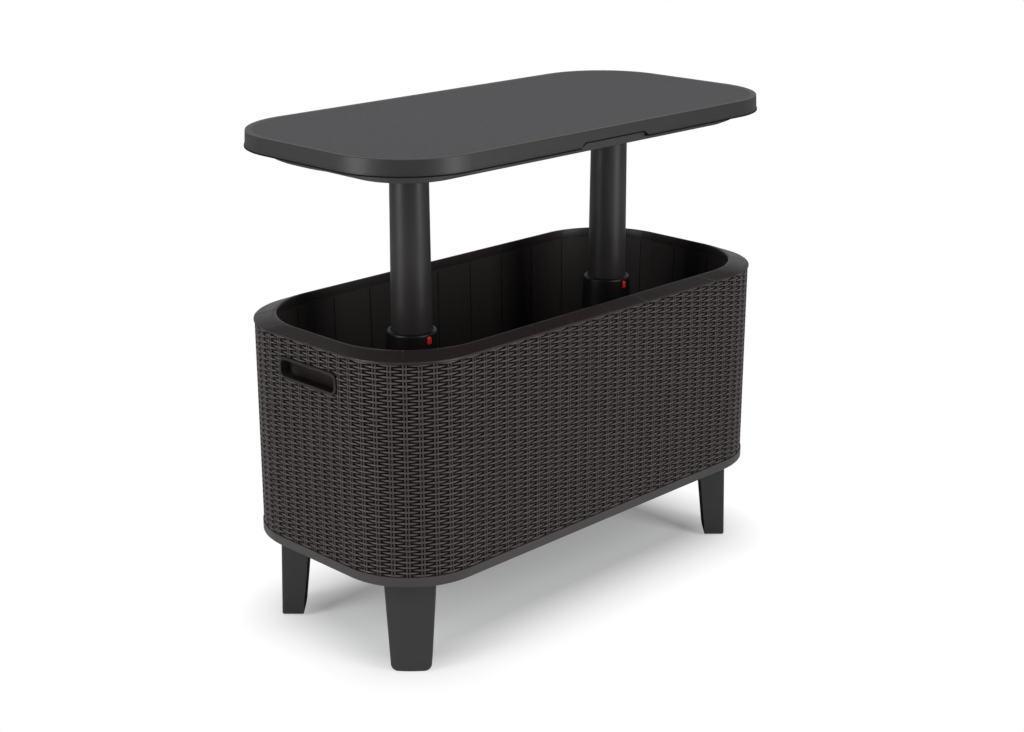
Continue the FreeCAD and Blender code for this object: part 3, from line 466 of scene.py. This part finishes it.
def mesh_piece(
    name, points, faces, body, material, smooth, replaced=(), values=None, uv=None
):
    """Mesh object from arrays, shaded smooth except at edges sharper than smooth degrees."""
    points = np.asarray(points, np.float32)
    faces = [np.asarray(f, np.int32) for f in faces]
    mesh = bpy.data.meshes.new(name)
    counts = np.concatenate([np.full(len(f), f.shape[1], np.int32) for f in faces])
    corners = np.concatenate([f.ravel() for f in faces])
    mesh.vertices.add(len(points))
    mesh.vertices.foreach_set("co", points.ravel())
    mesh.loops.add(len(corners))
    mesh.loops.foreach_set("vertex_index", corners)
    mesh.polygons.add(len(counts))
    starts = np.concatenate([[0], np.cumsum(counts)[:-1]]).astype(np.int32)
    mesh.polygons.foreach_set("loop_start", starts)
    mesh.update(calc_edges=True)
    for key, data in (values or {}).items():
        layer = mesh.attributes.new(key, "FLOAT", "POINT")
        layer.data.foreach_set("value", np.asarray(data, np.float32))
    if uv is not None:
        layer = mesh.uv_layers.new(name="OFBake")
        layer.data.foreach_set("uv", np.asarray(uv, np.float32).ravel())
    mesh.shade_smooth()
    mesh.set_sharp_from_angle(angle=math.radians(smooth))
    piece = bpy.data.objects.new(name, mesh)
    bpy.context.scene.collection.objects.link(piece)
    mesh.materials.append(material)
    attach(piece, body)
    if replaced:
        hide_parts(*replaced)


def grid_quads(rows, columns, start=0, closed_rows=False, closed_columns=False):
    """Quads of a grid of points, rows by columns, numbered row by row."""
    i = np.arange(rows if closed_rows else rows - 1)
    j = np.arange(columns if closed_columns else columns - 1)
    i, j = np.meshgrid(i, j, indexing="ij")
    i2 = (i + 1) % rows
    j2 = (j + 1) % columns
    quads = [i * columns + j, i2 * columns + j, i2 * columns + j2, i * columns + j2]
    return start + np.stack(quads, -1).reshape(-1, 4)


def repeated(quads, copies, points):
    """The quads of equal meshes that follow each other, each with so many points."""
    shift = np.arange(copies) * points
    return (quads[None] + shift[:, None, None]).reshape(-1, 4)


def ring_mesh(size, ways, profile):
    """Points and quads of a closed ring, with a profile of depths and heights."""
    xy, normal = around(size, ways)
    depth = np.array([d for d, _ in profile])
    points = np.zeros((len(ways), len(profile), 3))
    points[..., :2] = xy[:, None] - normal[:, None] * depth[None, :, None]
    points[..., 2] = [z for _, z in profile]
    return points.reshape(-1, 3), grid_quads(len(ways), len(profile), 0, True, True)


def in_grip(x, y, z):
    """True where a point of the end walls lies inside a grip's mouth."""
    dy = np.maximum(np.abs(y) - (grip_half_y - MOUTH_R), 0)
    dz = np.maximum(np.abs(z - grip_centre_z) - (grip_half_z - MOUTH_R), 0)
    return (np.abs(x) > TUB[0] / 2 - END_ZONE) & (np.hypot(dy, dz) < MOUTH_R)


def grip_reach(x, y):
    """Half height of a grip's mouth at a place on the wall, or zero beside it."""
    dy = np.maximum(np.abs(y) - (grip_half_y - MOUTH_R), 0)
    if abs(x) <= TUB[0] / 2 - END_ZONE or dy >= MOUTH_R:
        return 0.0
    return grip_half_z - MOUTH_R + math.sqrt(MOUTH_R * MOUTH_R - dy * dy)


# Weave round the tub: strands over every second stake, and two ribs for each stake.
# Depths are measured inwards from the tub's outline.
SIDE_STAKES = {"right": 16, "front": 36, "left": 16, "rear": 36}
ROWS = 75
BACK_DEPTH = 0.0039
SUNK_DEPTH = 0.0041

# A strand's half height and roundness, with the shares of both at its shoulder
STRAND_HALF = 0.00136
STRAND_ROUND = 0.0012
SHOULDER_HEIGHT = 0.6
SHOULDER_DEPTH = 0.28

# How a strand narrows and dips from its stake to its ends, which it reaches in stakes
STRAND_TAPER = 0.24
STRAND_DIP = 0.0029
STRAND_CURVE = 1.8
STRAND_REACH = 0.86

# Stations along a strand in stakes, and how strong the painted highlight on its crown is along
# and across it
STATIONS = np.array([-0.875, -0.86, -0.72, -0.52, -0.3, 0.0, 0.3, 0.52, 0.72, 0.86, 0.875])
STRAND_HIGHLIGHT = np.array([0.0, 0.0, 0.1, 0.45, 1.0, 0.4, 1.0, 0.45, 0.1, 0.0, 0.0])
SECTION_HIGHLIGHT = np.array([0.0, 0.3, 1.0, 0.8, 0.25, 0.0, 0.0])

RIB_OFFSET = 0.00205
RIB_HALF = 0.00115
RIB_DEPTH = 0.00035
RIB_ROUND = 0.00055

# Shares of the texture's height: strands below, ribs above
STRAND_UV = 0.88
RIB_UV_LOW = 0.90
RIB_UV_HIGH = 0.98

BAND_HEIGHT = 0.015
weave_low = base_z + BAND_HEIGHT
row_pitch = (rim_z - weave_low) / ROWS


def corner_ways():
    """Distances to the middle of each corner, in the order of the sides that start there."""
    ends = np.cumsum([run for _, run, _, _ in stretches(TUB)])
    half_arc = math.pi / 4 * TUB[2]
    return dict(zip(SIDE_STAKES, ends[[0, 2, 4, 6]] + half_arc))


def strand_front():
    """Depth of a strand's face at each station: proud over its stake, sunk at its ends."""
    reach = np.minimum(np.abs(STATIONS) / STRAND_REACH, 1)
    front = STRAND_DIP * reach**STRAND_CURVE
    front[np.abs(STATIONS) > STRAND_REACH + 0.001] = SUNK_DEPTH
    return front


def make_strands(start, pitch, count):
    """All strands of one side: points, quads, depths with painted highlights, and flat
    coordinates.
    """
    numbers = np.arange(count)
    ways = start + (numbers[:, None] + STATIONS) * pitch
    xy, normal = around(TUB, ways.ravel())
    xy = xy.reshape(count, -1, 2)
    normal = normal.reshape(count, -1, 2)
    front = strand_front()
    side = np.minimum(front + STRAND_ROUND, SUNK_DEPTH)
    shoulder = np.minimum(front + STRAND_ROUND * SHOULDER_DEPTH, SUNK_DEPTH)
    back = np.full_like(front, SUNK_DEPTH)
    upper = [(back, 1.0), (side, 1.0), (shoulder, SHOULDER_HEIGHT)]
    section = upper + [(front, 0.0)] + [(d, -z) for d, z in upper[::-1]]
    depth = np.stack([d for d, _ in section], 1)
    half = STRAND_HALF * (1 - STRAND_TAPER * np.abs(STATIONS / STATIONS[-1]) ** 1.5)
    height = half[:, None] * np.array([z for _, z in section])
    stake, row = np.meshgrid(numbers, np.arange(ROWS), indexing="ij")
    chosen = (stake + row) % 2 == 1
    stake = stake[chosen]
    row = row[chosen]
    across = len(section)
    length = len(STATIONS)
    points = np.zeros((len(stake), length, across, 3))
    shift = normal[stake][:, :, None, :] * depth[None, :, :, None]
    points[..., :2] = xy[stake][:, :, None, :] - shift
    points[..., 2] = (weave_low + (row + 0.5) * row_pitch)[:, None, None] + height[None]
    quads = repeated(grid_quads(length, across), len(stake), length * across)
    u = (stake[:, None, None] + 1 + STATIONS[None, :, None] + 0 * height[None]) / (count + 1)
    v = (row[:, None, None] + 0.1 + 0.8 * np.arange(across) / (across - 1) + 0 * u) / ROWS
    places = np.stack([u, v * STRAND_UV], -1).reshape(-1, 2)
    depths = np.tile(depth.ravel(), len(stake)) / BACK_DEPTH
    # Shares of the painted highlight on each strand's crown, along and across it
    crown_highlight = np.tile(np.outer(STRAND_HIGHLIGHT, SECTION_HIGHLIGHT).ravel(), len(stake))
    return points.reshape(-1, 3), quads, np.stack([depths, crown_highlight]), places


def make_ribs(start, pitch, count):
    """Upright ribs of one side, cut where they meet a grip."""
    section = [
        (-RIB_HALF, SUNK_DEPTH),
        (-RIB_HALF, RIB_DEPTH + RIB_ROUND),
        (-RIB_HALF / 2, RIB_DEPTH),
        (RIB_HALF / 2, RIB_DEPTH),
        (RIB_HALF, RIB_DEPTH + RIB_ROUND),
        (RIB_HALF, SUNK_DEPTH),
    ]
    sideways = np.array([s for s, _ in section])
    depth = np.array([d for _, d in section])
    across = len(section)
    points = []
    places = []
    for number in range(count):
        for side in (-1, 1):
            way = start + number * pitch + side * RIB_OFFSET
            xy, normal = around(TUB, way + sideways)
            xy = xy - normal * depth[:, None]
            reach = grip_reach(*xy[0])
            levels = [weave_low, rim_z]
            if reach > 0:
                levels[1:1] = [grip_centre_z - reach, grip_centre_z + reach]
            u = (number + 0.5 + side * 0.25 + 0.2 * sideways / RIB_HALF) / count
            for z in levels:
                points.append(np.column_stack([xy, np.full(across, z)]))
                share = (z - weave_low) / (rim_z - weave_low)
                v = RIB_UV_LOW + (RIB_UV_HIGH - RIB_UV_LOW) * share
                places.append(np.column_stack([u, np.full(across, v)]))
    quads = repeated(grid_quads(2, across), len(points) // 2, 2 * across)
    depths = np.tile(depth, len(points)) / BACK_DEPTH
    return np.concatenate(points), quads, np.stack([depths, 0 * depths]), np.concatenate(places)


def make_weave(side):
    """Woven relief of one side, from the middle of one corner to the next."""
    ways = corner_ways()
    names = list(SIDE_STAKES)
    start = ways[side]
    after = ways[names[(names.index(side) + 1) % len(names)]]
    count = SIDE_STAKES[side]
    pitch = (after - start) % perimeter(TUB) / count
    points, quads, values, places = make_strands(start, pitch, count)

    # Strands end at the edge of a grip's mouth
    inside = in_grip(points[:, 0], points[:, 1], points[:, 2])
    quads = quads[~inside[quads].all(1)]
    dz = np.maximum(np.abs(points[:, 2] - grip_centre_z) - (grip_half_z - MOUTH_R), 0)
    edge = grip_half_y - MOUTH_R + np.sqrt(np.maximum(MOUTH_R**2 - dz**2, 0))
    points[:, 1] = np.where(inside, np.sign(points[:, 1]) * edge, points[:, 1])

    ribs, rib_quads, rib_values, rib_places = make_ribs(start, pitch, count)
    quads = np.concatenate([quads, rib_quads + len(points)])
    points = np.concatenate([points, ribs])
    values = np.concatenate([values, rib_values], 1)
    places = np.concatenate([places, rib_places])
    used, quads = np.unique(quads, return_inverse=True)
    quads = quads.reshape(-1, 4)
    mesh_piece(
        "weave_" + side,
        points[used],
        [quads],
        "tub",
        weave_plastic,
        replaced=("body_shell",),
        smooth=60.0,
        # Depths for the painted shade in the gaps, and shares of the painted highlight on the
        # crowns
        values=dict(zip(("depth", "crown_highlight"), values[:, used])),
        uv=places[used][quads],
    )


# Plain wall behind the weave, and the band at its foot
WALL_INNER = 0.0054
WALL_CELL = 0.002
WALL_STEP = 0.006
BAND_PROUD = 0.001
BAND_CHAMFER = 0.002
BAND_EDGE = 0.0004
BAND_LEDGE = 0.011
BAND_FLOOR = 0.003
BAND_STEP = 0.005


def make_shell_wall():
    """Plain wall behind the weave, painted near black as shade, open at the grips, where its
    cells are finer.
    """
    steps = int(round(2 * (grip_half_z + WALL_CELL) / WALL_CELL))
    mouth = grip_centre_z + (np.arange(steps + 1) - steps / 2) * WALL_CELL
    profile = [(BACK_DEPTH, z) for z in [rim_z, *mouth[::-1], weave_low]]
    profile += [(WALL_INNER, z) for z in [weave_low, *mouth, rim_z]]
    total = perimeter(TUB)
    fine = np.arange(-grip_half_y - WALL_CELL, grip_half_y + 2 * WALL_CELL, WALL_CELL)
    ways = [np.arange(0, total, WALL_STEP), total / 4 + fine, total * 3 / 4 + fine]
    ways = np.unique(np.round(np.concatenate(ways), 6))
    points, quads = ring_mesh(TUB, ways, profile)
    centre = points[quads].mean(1)
    cut = in_grip(centre[:, 0], centre[:, 1], centre[:, 2])
    mesh_piece(
        "shell_wall",
        points,
        [quads[~cut]],
        "tub",
        painted_wall_shade,
        replaced=("body_shell",),
        smooth=30.0,
    )


def make_foot_band():
    """Smooth band at the shell's foot, with the ledge under it."""
    profile = [
        (WALL_INNER, weave_low),
        (-BAND_PROUD + BAND_EDGE, weave_low),
        (-BAND_PROUD, weave_low - BAND_EDGE),
        (-BAND_PROUD, base_z + BAND_CHAMFER),
        (BAND_CHAMFER - BAND_PROUD, base_z),
        (BAND_LEDGE, base_z),
        (BAND_LEDGE, base_z + BAND_FLOOR),
        (WALL_INNER, base_z + BAND_FLOOR),
    ]
    points, quads = ring_mesh(TUB, np.arange(0, perimeter(TUB), BAND_STEP), profile)
    mesh_piece(
        "foot_band",
        points,
        [quads],
        "tub",
        band_plastic,
        replaced=("body_shell",),
        smooth=30.0,
    )


# Rim of the tub: its section from the outside over the crest to the opening
RIM_STRAIGHT = 0.0018
RIM_EDGE = 0.0017
RIM_SHOULDER = 0.0022
RIM_CREST = 0.0199
OPENING_INSET = 0.0215
OPENING_R = 0.127
OPENING_ROUND = 0.0014
RIM_SKIRT = 0.003
RIM_WALL = 0.003
RIM_UNDER = 0.0045
RIM_STEP = 0.005

# Lip under the rim that drops inside the shell
LIP_OUTER = 0.0053
LIP_INNER = 0.0064
LIP_DROP = 0.006

# Planks round the rim: the joints' half width and depth, and how far the grain moves at each
PLANKS = 28
JOINT_HALF = 0.0007
JOINT_DEPTH = 0.0004
GRAIN_SHIFT = (0.37, 0.11)


def rim_outline(amount):
    """The rim's plan at a distance in from its outside: its corners widen inwards."""
    radius = RIM[2] + (OPENING_R - RIM[2]) * amount / OPENING_INSET
    return (RIM[0] - 2 * amount, RIM[1] - 2 * amount, radius)


def rim_profile():
    """The rim's section as insets and heights, and how many of its rows show."""
    high = rim_top_z - rim_z
    profile = [(0.0, 0.0), (0.0, RIM_STRAIGHT)]
    for turn in np.radians([20, 40, 62]):
        inward = RIM_EDGE * (1 - math.cos(turn))
        profile.append((inward, RIM_STRAIGHT + RIM_EDGE * math.sin(turn)))
    start = profile[-1]
    end = (RIM_CREST - RIM_SHOULDER, high - RIM_SHOULDER * 0.22)
    for share in (0.03, 0.25, 0.5, 0.75, 1.0):
        profile.append(tuple(a + (b - a) * share for a, b in zip(start, end)))
    profile.append((RIM_CREST - RIM_SHOULDER / 2, high - RIM_SHOULDER * 0.05))
    profile.append((RIM_CREST, high))
    for turn in np.radians([15, 40, 65, 90]):
        inward = OPENING_INSET - OPENING_ROUND * (1 - math.sin(turn))
        profile.append((inward, high - OPENING_ROUND * (1 - math.cos(turn))))
    profile.append((OPENING_INSET, -RIM_SKIRT))
    shown = len(profile)
    profile += [
        (OPENING_INSET - RIM_WALL, -RIM_SKIRT),
        (OPENING_INSET - RIM_WALL, RIM_UNDER),
        (LIP_INNER, RIM_UNDER),
        (LIP_INNER, -LIP_DROP),
        (LIP_OUTER, -LIP_DROP),
        (LIP_OUTER, 0.0),
    ]
    return profile, shown


def make_rim():
    """Rolled rim with its wood grain and the joints of the planks across it."""
    profile, shown = rim_profile()
    opening = rim_outline(OPENING_INSET)
    total = perimeter(opening)
    joints = np.arange(PLANKS) * total / PLANKS
    steps = np.array([-2.5, -1, -0.5, 0, 0.5, 1, 2.5]) * JOINT_HALF
    ways = np.concatenate([np.arange(0, total, RIM_STEP), (joints[:, None] + steps).ravel()])
    ways = np.unique(np.round(ways % total, 6))
    off = np.abs((ways[:, None] - joints[None] + total / 2) % total - total / 2).min(1)
    groove = JOINT_DEPTH * np.clip(1 - off / JOINT_HALF, 0, 1)
    marks = marks_at(opening, ways)
    rings = []
    for j, (amount, z) in enumerate(profile):
        xy, normal = places_at(rim_outline(amount), marks)
        before = profile[max(j - 1, 0)]
        after = profile[(j + 1) % len(profile)]
        lean = math.atan2(after[0] - before[0], after[1] - before[1])
        sunk = groove if 0 < j < shown else 0 * groove
        xy = xy - normal * (sunk * math.cos(lean))[:, None]
        rings.append(np.column_stack([xy, rim_z + z - sunk * math.sin(lean)]))
    points = np.stack(rings, 1).reshape(-1, 3)
    across = np.cumsum([0] + [math.dist(a, b) for a, b in zip(profile, profile[1:])])
    plank = np.floor(ways / total * PLANKS)
    values = {
        "along": np.repeat(ways + plank * GRAIN_SHIFT[0], len(profile)),
        "across": np.tile(across, len(ways)) + np.repeat(plank * GRAIN_SHIFT[1], len(profile)),
    }
    quads = grid_quads(len(ways), len(profile), 0, True, True)
    mesh_piece(
        "rim_ring",
        points,
        [quads[:, ::-1]],
        "tub",
        rim_plastic,
        replaced=("tub_rim",),
        smooth=32.0,
        values=values,
    )


# Collars round the columns: their outside, which widens downwards and is rounded at the top
collar_low, collar_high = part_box("collar_left")
COLLAR_FLARE = 0.003
COLLAR_TOP_R = (collar_high.x - collar_low.x) / 2 - COLLAR_FLARE + 0.00015
COLLAR_HEIGHT = collar_high.z - collar_low.z
COLLAR_ROUND = 0.0042

# Their inside: the bore, how far its edge is cut outwards and down, and the sleeve's seat
COLLAR_BORE = 0.0313
BORE_EDGE = (0.0005, 0.0006)
COLLAR_LIP = 0.026
SLEEVE_R = 0.03505

# The window for a tab and the small notch above it: half widths, drops from the top and depths
WINDOW_HALF = 0.0044
WINDOW_HIGH = 0.0038
WINDOW_LOW = 0.0178
WINDOW_DEPTH = 0.0033
NOTCH_HALF = 0.0019
NOTCH_HIGH = 0.0014
NOTCH_DEPTH = 0.0009


def collar_r(drop):
    """Outer radius of a collar at a distance below its top."""
    return COLLAR_TOP_R + COLLAR_FLARE * drop / COLLAR_HEIGHT


def sink_cells(points, quads, sunk, columns, axis_x):
    """Sets cells of a closed grid back towards an upright axis, with walls round them."""
    rows = len(quads) // columns
    added = []
    for number in np.flatnonzero(sunk):
        corners = points[quads[number]]
        out = np.zeros((4, 3))
        out[:, :2] = corners[:, :2] - (axis_x, 0)
        out /= np.linalg.norm(out, axis=1)[:, None]
        back = corners - out * sunk[number]
        added.append(back)
        row, column = divmod(number, columns)
        beside = [(row, column - 1), (row + 1, column), (row, column + 1), (row - 1, column)]
        for a, (r, c) in enumerate(beside):
            other = sunk[r % rows * columns + c % columns]
            if other < sunk[number]:
                b = (a + 1) % 4
                near = corners - out * other
                added.append(np.stack([near[a], near[b], back[b], back[a]]))
    walls = len(points) + np.arange(4 * len(added)).reshape(-1, 4)
    return np.concatenate([points, *added]), np.concatenate([quads[sunk == 0], walls])


def make_collar(side):
    """Dark ring round a column, with a window for its tab and a notch above it."""
    rounding = COLLAR_ROUND * (1 - np.sin(np.radians([90, 65, 40, 15, 0])))
    below = np.linspace(WINDOW_LOW + 0.004, COLLAR_HEIGHT, 8)
    drops = np.concatenate([rounding, [NOTCH_HIGH, WINDOW_HIGH, WINDOW_LOW], below])
    drops = np.unique(drops.round(6))
    profile = []
    for drop in drops:
        lean = max(1 - drop / COLLAR_ROUND, 0)
        profile.append((collar_r(drop) - COLLAR_ROUND * (1 - math.sqrt(1 - lean * lean)), drop))
    inner = [
        (SLEEVE_R, COLLAR_HEIGHT),
        (SLEEVE_R, COLLAR_LIP),
        (COLLAR_BORE, COLLAR_LIP),
        (COLLAR_BORE, BORE_EDGE[1]),
        (COLLAR_BORE + BORE_EDGE[0], 0.0),
    ]
    profile += inner
    edges = [WINDOW_HALF / COLLAR_TOP_R, NOTCH_HALF / COLLAR_TOP_R]
    angles = np.concatenate([np.radians(np.arange(12, 349, 4)), edges, [-e for e in edges], [0]])
    angles = np.unique(np.round(angles % (2 * math.pi), 6))
    reach = np.array([r for r, _ in profile])
    level = collar_top_z - np.array([d for _, d in profile])
    points = []
    for angle in angles:
        x = COLUMNS[side] + reach * math.sin(angle)
        points.append(np.column_stack([x, -reach * math.cos(angle), level]))
    points = np.concatenate(points)
    columns = len(profile)
    quads = grid_quads(len(angles), columns, 0, True, True)
    cell_angle, cell_drop = np.divmod(np.arange(len(quads)), columns)
    middle = (angles[cell_angle] + np.append(angles[1:], 2 * math.pi)[cell_angle]) / 2
    middle = np.abs((middle + math.pi) % (2 * math.pi) - math.pi)
    depth = np.append(drops, np.ones(len(inner)))
    centre = (depth[cell_drop] + depth[(cell_drop + 1) % columns]) / 2
    window = (middle < edges[0]) & (centre > WINDOW_HIGH) & (centre < WINDOW_LOW)
    notch = (middle < edges[1]) & (centre > NOTCH_HIGH) & (centre <= WINDOW_HIGH)
    sunk = np.where(window, WINDOW_DEPTH, np.where(notch, NOTCH_DEPTH, 0.0))
    points, quads = sink_cells(points, quads, sunk, columns, COLUMNS[side])
    mesh_piece(
        "collar_ring_" + side,
        points,
        [quads[:, ::-1]],
        "tub",
        finishes["collar_plastic"],
        replaced=("collar_" + side,),
        smooth=35.0,
    )


# Red tabs: their rounded outline, its steps, their bow from end to end and curve across
TAB_WIDTH = 0.0075
TAB_HEIGHT = 0.0128
TAB_R = 0.0031
TAB_STEPS = 40
TAB_BOW = 0.0006
TAB_CURVE = 8

# Rings from a tab's back to its face: how far each is drawn in and stands out of the collar
TAB_RINGS = [
    (0.0, -0.0006),
    (0.0, 0.0),
    (0.0003, 0.0007),
    (0.0009, 0.0011),
    (0.0017, 0.0013),
    (0.0025, 0.0014),
    (0.0029, 0.00142),
]


def make_tab(side):
    """Red press tab, rounded at both ends and a little bowed."""
    size = (TAB_WIDTH, TAB_HEIGHT, TAB_R)
    shares = np.arange(TAB_STEPS) / TAB_STEPS
    centre_z = collar_top_z - (WINDOW_HIGH + WINDOW_LOW) / 2
    rings = []
    for amount, proud in TAB_RINGS:
        ring = inset(size, amount)
        xy, _ = places_at(ring, marks_at(size, shares * perimeter(size)))
        bow = TAB_BOW * (1 - (xy[:, 1] / (TAB_HEIGHT / 2)) ** 2) if proud > 0 else 0
        reach = collar_r(WINDOW_LOW / 2) + proud + bow - xy[:, 0] ** 2 * TAB_CURVE
        rings.append(np.column_stack([COLUMNS[side] + xy[:, 0], -reach, centre_z + xy[:, 1]]))
    last = (len(rings) - 1) * TAB_STEPS
    ends = [np.arange(TAB_STEPS)[None], last + np.arange(TAB_STEPS)[None, ::-1]]
    mesh_piece(
        "latch_tab_" + side,
        np.concatenate(rings),
        [grid_quads(len(rings), TAB_STEPS, 0, False, True), *ends],
        "latch_" + side,
        finishes["latch_red"],
        replaced=("latch_lever_" + side,),
        smooth=50.0,
    )


# Finger notches in the table's long sides. The three points of a corner lie this far out
# from the end of the notch's top, and this far down from it.
FINGER_LENGTH = 0.144
FINGER_DEPTH = 0.0067
FINGER_SLANT = 0.0085
FINGER_CORNER = [(0.0012, 0.0012), (0.0, 0.0004), (-0.0015, 0.0)]

# Near-black strips of painted shade in the gap round them: their width, and their depths behind
# the skirt's face
SHADE_STRIP_WIDTH = 0.0016
SHADE_STRIP_OVERLAP = 0.0001
SHADE_STRIP_FRONT = 0.0003
SHADE_STRIP_BACK = 0.0028


def notch_outline(shrink):
    """One finger notch's edge, drawn in by shrink: distances along the side and heights."""
    foot = top_of("table_seal")
    low = FINGER_LENGTH / 2 - shrink
    high = low - FINGER_SLANT
    top = foot + FINGER_DEPTH - shrink
    half = [(low, foot)] + [(high + out, top - down) for out, down in FINGER_CORNER]
    return half + [(-x, z) for x, z in half[::-1]]


def make_gap_shade():
    """A flat near-black strip of painted shade along each notch's edge, a little behind the
    skirt's face.
    """
    points = []
    quads = []
    outer = notch_outline(-SHADE_STRIP_OVERLAP)
    inner = notch_outline(SHADE_STRIP_WIDTH)
    count = len(outer)
    for side in (-1, 1):
        start = len(points)
        front = side * (TABLE[1] / 2 - SHADE_STRIP_FRONT)
        back = side * (TABLE[1] / 2 - SHADE_STRIP_BACK)
        for (x0, z0), (x1, z1) in zip(outer, inner):
            points += [(x0, front, z0), (x0, back, z0), (x1, back, z1), (x1, front, z1)]
        ends = start + np.array([[0, 1, 2, 3], 4 * count - 1 - np.arange(4)])
        turned = np.concatenate([grid_quads(count, 4, start, False, True), ends])
        quads.append(turned if side < 0 else turned[:, ::-1])
    # The strips take the seal's near-black rubber finish as painted shade in the gap
    mesh_piece(
        "notch_gap_shade",
        points,
        quads,
        "table",
        finishes["seal_rubber"],
        smooth=30.0,
    )


# Floor: in the camera it turns from plain white to a lit floor with the object's shadow,
# between two distances that are measured inwards from the tub's outline
FLOOR_HALF = 12.0
FLOOR_GLOW = 0.17
FLOOR_FADE = (-0.045, 0.09)
WHITE = (1, 1, 1, 1)

# Strength of the studio's light all round and at its backdrop
WORLD_DIM = 0.14
WORLD_BACKDROP = 0.68

# Softboxes: place, the point that each one faces, width and height, and watts
SOFTBOXES = {
    "top softbox": ((-0.5, -0.5, 2.7), (0, 0, 0.5), (1.6, 1.6), 16),
    "left softbox": ((-2.5, 0.5, 1.3), (0, 0, 0.4), (1.1, 2.3), 36),
    "front softbox": ((0.5, -2.5, 1.3), (0, 0, 0.4), (1.1, 2.3), 38),
}

# Camera solved from the photograph: place, and degrees down and round
CAMERA_PLACE = (-1.8426, -1.8172, 1.1959)
CAMERA_DOWN = 18.225
CAMERA_ROUND = -45.316
CAMERA_LENS = 61.08
SENSOR_WIDTH = 36.0


def make_floor():
    """Pale floor that keeps the shadow under the object and runs into the backdrop round it."""
    half = FLOOR_HALF
    mesh = bpy.data.meshes.new("floor")
    corners = [(-half, -half, 0), (half, -half, 0), (half, half, 0), (-half, half, 0)]
    mesh.from_pydata(corners, [], [(0, 1, 2, 3)])
    floor = bpy.data.objects.new("floor", mesh)
    bpy.context.scene.collection.objects.link(floor)
    m = new_material("floor")
    shade = m.mix(m.noise(3.0, 4.0), (0.88, 0.89, 0.9, 1), (0.9, 0.905, 0.91, 1))
    diffuse = m.add("ShaderNodeBsdfDiffuse", {"Color": shade})
    glow = m.add("ShaderNodeEmission", {"Color": WHITE, "Strength": FLOOR_GLOW})
    near = m.add("ShaderNodeAddShader", {0: diffuse.outputs[0], 1: glow.outputs[0]})
    far = m.add("ShaderNodeEmission", {"Color": WHITE, "Strength": 1.0})
    fade = m.span(edge_distance(m, TUB), *FLOOR_FADE, 1.0, 0.0)
    seen = m.add("ShaderNodeMixShader", {0: fade, 1: near.outputs[0], 2: far.outputs[0]})
    mesh.materials.append(m.show(m.seen_by_camera(diffuse, seen)))


def make_world():
    """Dim studio with a pale backdrop low behind the object; the camera sees plain white."""
    world = bpy.data.worlds.new("studio")
    bpy.context.scene.world = world
    m = Nodes(world, "ShaderNodeOutputWorld")
    way = m.add("ShaderNodeTexCoord").outputs["Generated"]
    values = {0: way, 1: (math.sqrt(0.5), math.sqrt(0.5), 0)}
    facing = m.add("ShaderNodeVectorMath", values, operation="DOT_PRODUCT").outputs["Value"]
    behind = m.span(facing, -0.1, 0.7, 0.0, 1.0, "SMOOTHSTEP")
    low = m.span(m.split(way)["Z"], 0.08, 0.75, 1.0, 0.0, "SMOOTHSTEP")
    both = m.math("MULTIPLY", behind, low)
    strength = m.span(both, 0.0, 1.0, WORLD_DIM, WORLD_BACKDROP, "SMOOTHSTEP")
    soft = m.add("ShaderNodeBackground", {"Color": (0.97, 0.985, 1.0, 1), "Strength": strength})
    white = m.add("ShaderNodeBackground", {"Color": WHITE, "Strength": 1.0})
    m.show(m.seen_by_camera(soft, white))


def make_softbox(name, place, target, size, power):
    light = bpy.data.lights.new(name, "AREA")
    light.shape = "RECTANGLE"
    light.size, light.size_y = size
    light.energy = power
    lamp = bpy.data.objects.new(name, light)
    bpy.context.scene.collection.objects.link(lamp)
    lamp.location = place
    way = Vector(target) - Vector(place)
    lamp.rotation_euler = way.to_track_quat("-Z", "Y").to_euler()


def make_camera():
    camera = bpy.data.cameras.new("camera")
    camera.sensor_width = SENSOR_WIDTH
    camera.lens = CAMERA_LENS
    camera.clip_end = 60.0
    holder = bpy.data.objects.new("camera", camera)
    bpy.context.scene.collection.objects.link(holder)
    holder.location = CAMERA_PLACE
    holder.rotation_euler = (math.radians(90 - CAMERA_DOWN), 0, math.radians(CAMERA_ROUND))
    bpy.context.scene.camera = holder


for side in SIDE_STAKES:
    make_weave(side)
make_shell_wall()
make_foot_band()
make_rim()
for side in COLUMNS:
    make_collar(side)
    make_tab(side)
make_gap_shade()
make_floor()
make_world()
for name, settings in SOFTBOXES.items():
    make_softbox(name, *settings)
make_camera()
bpy.context.scene.view_settings.view_transform = "Standard"
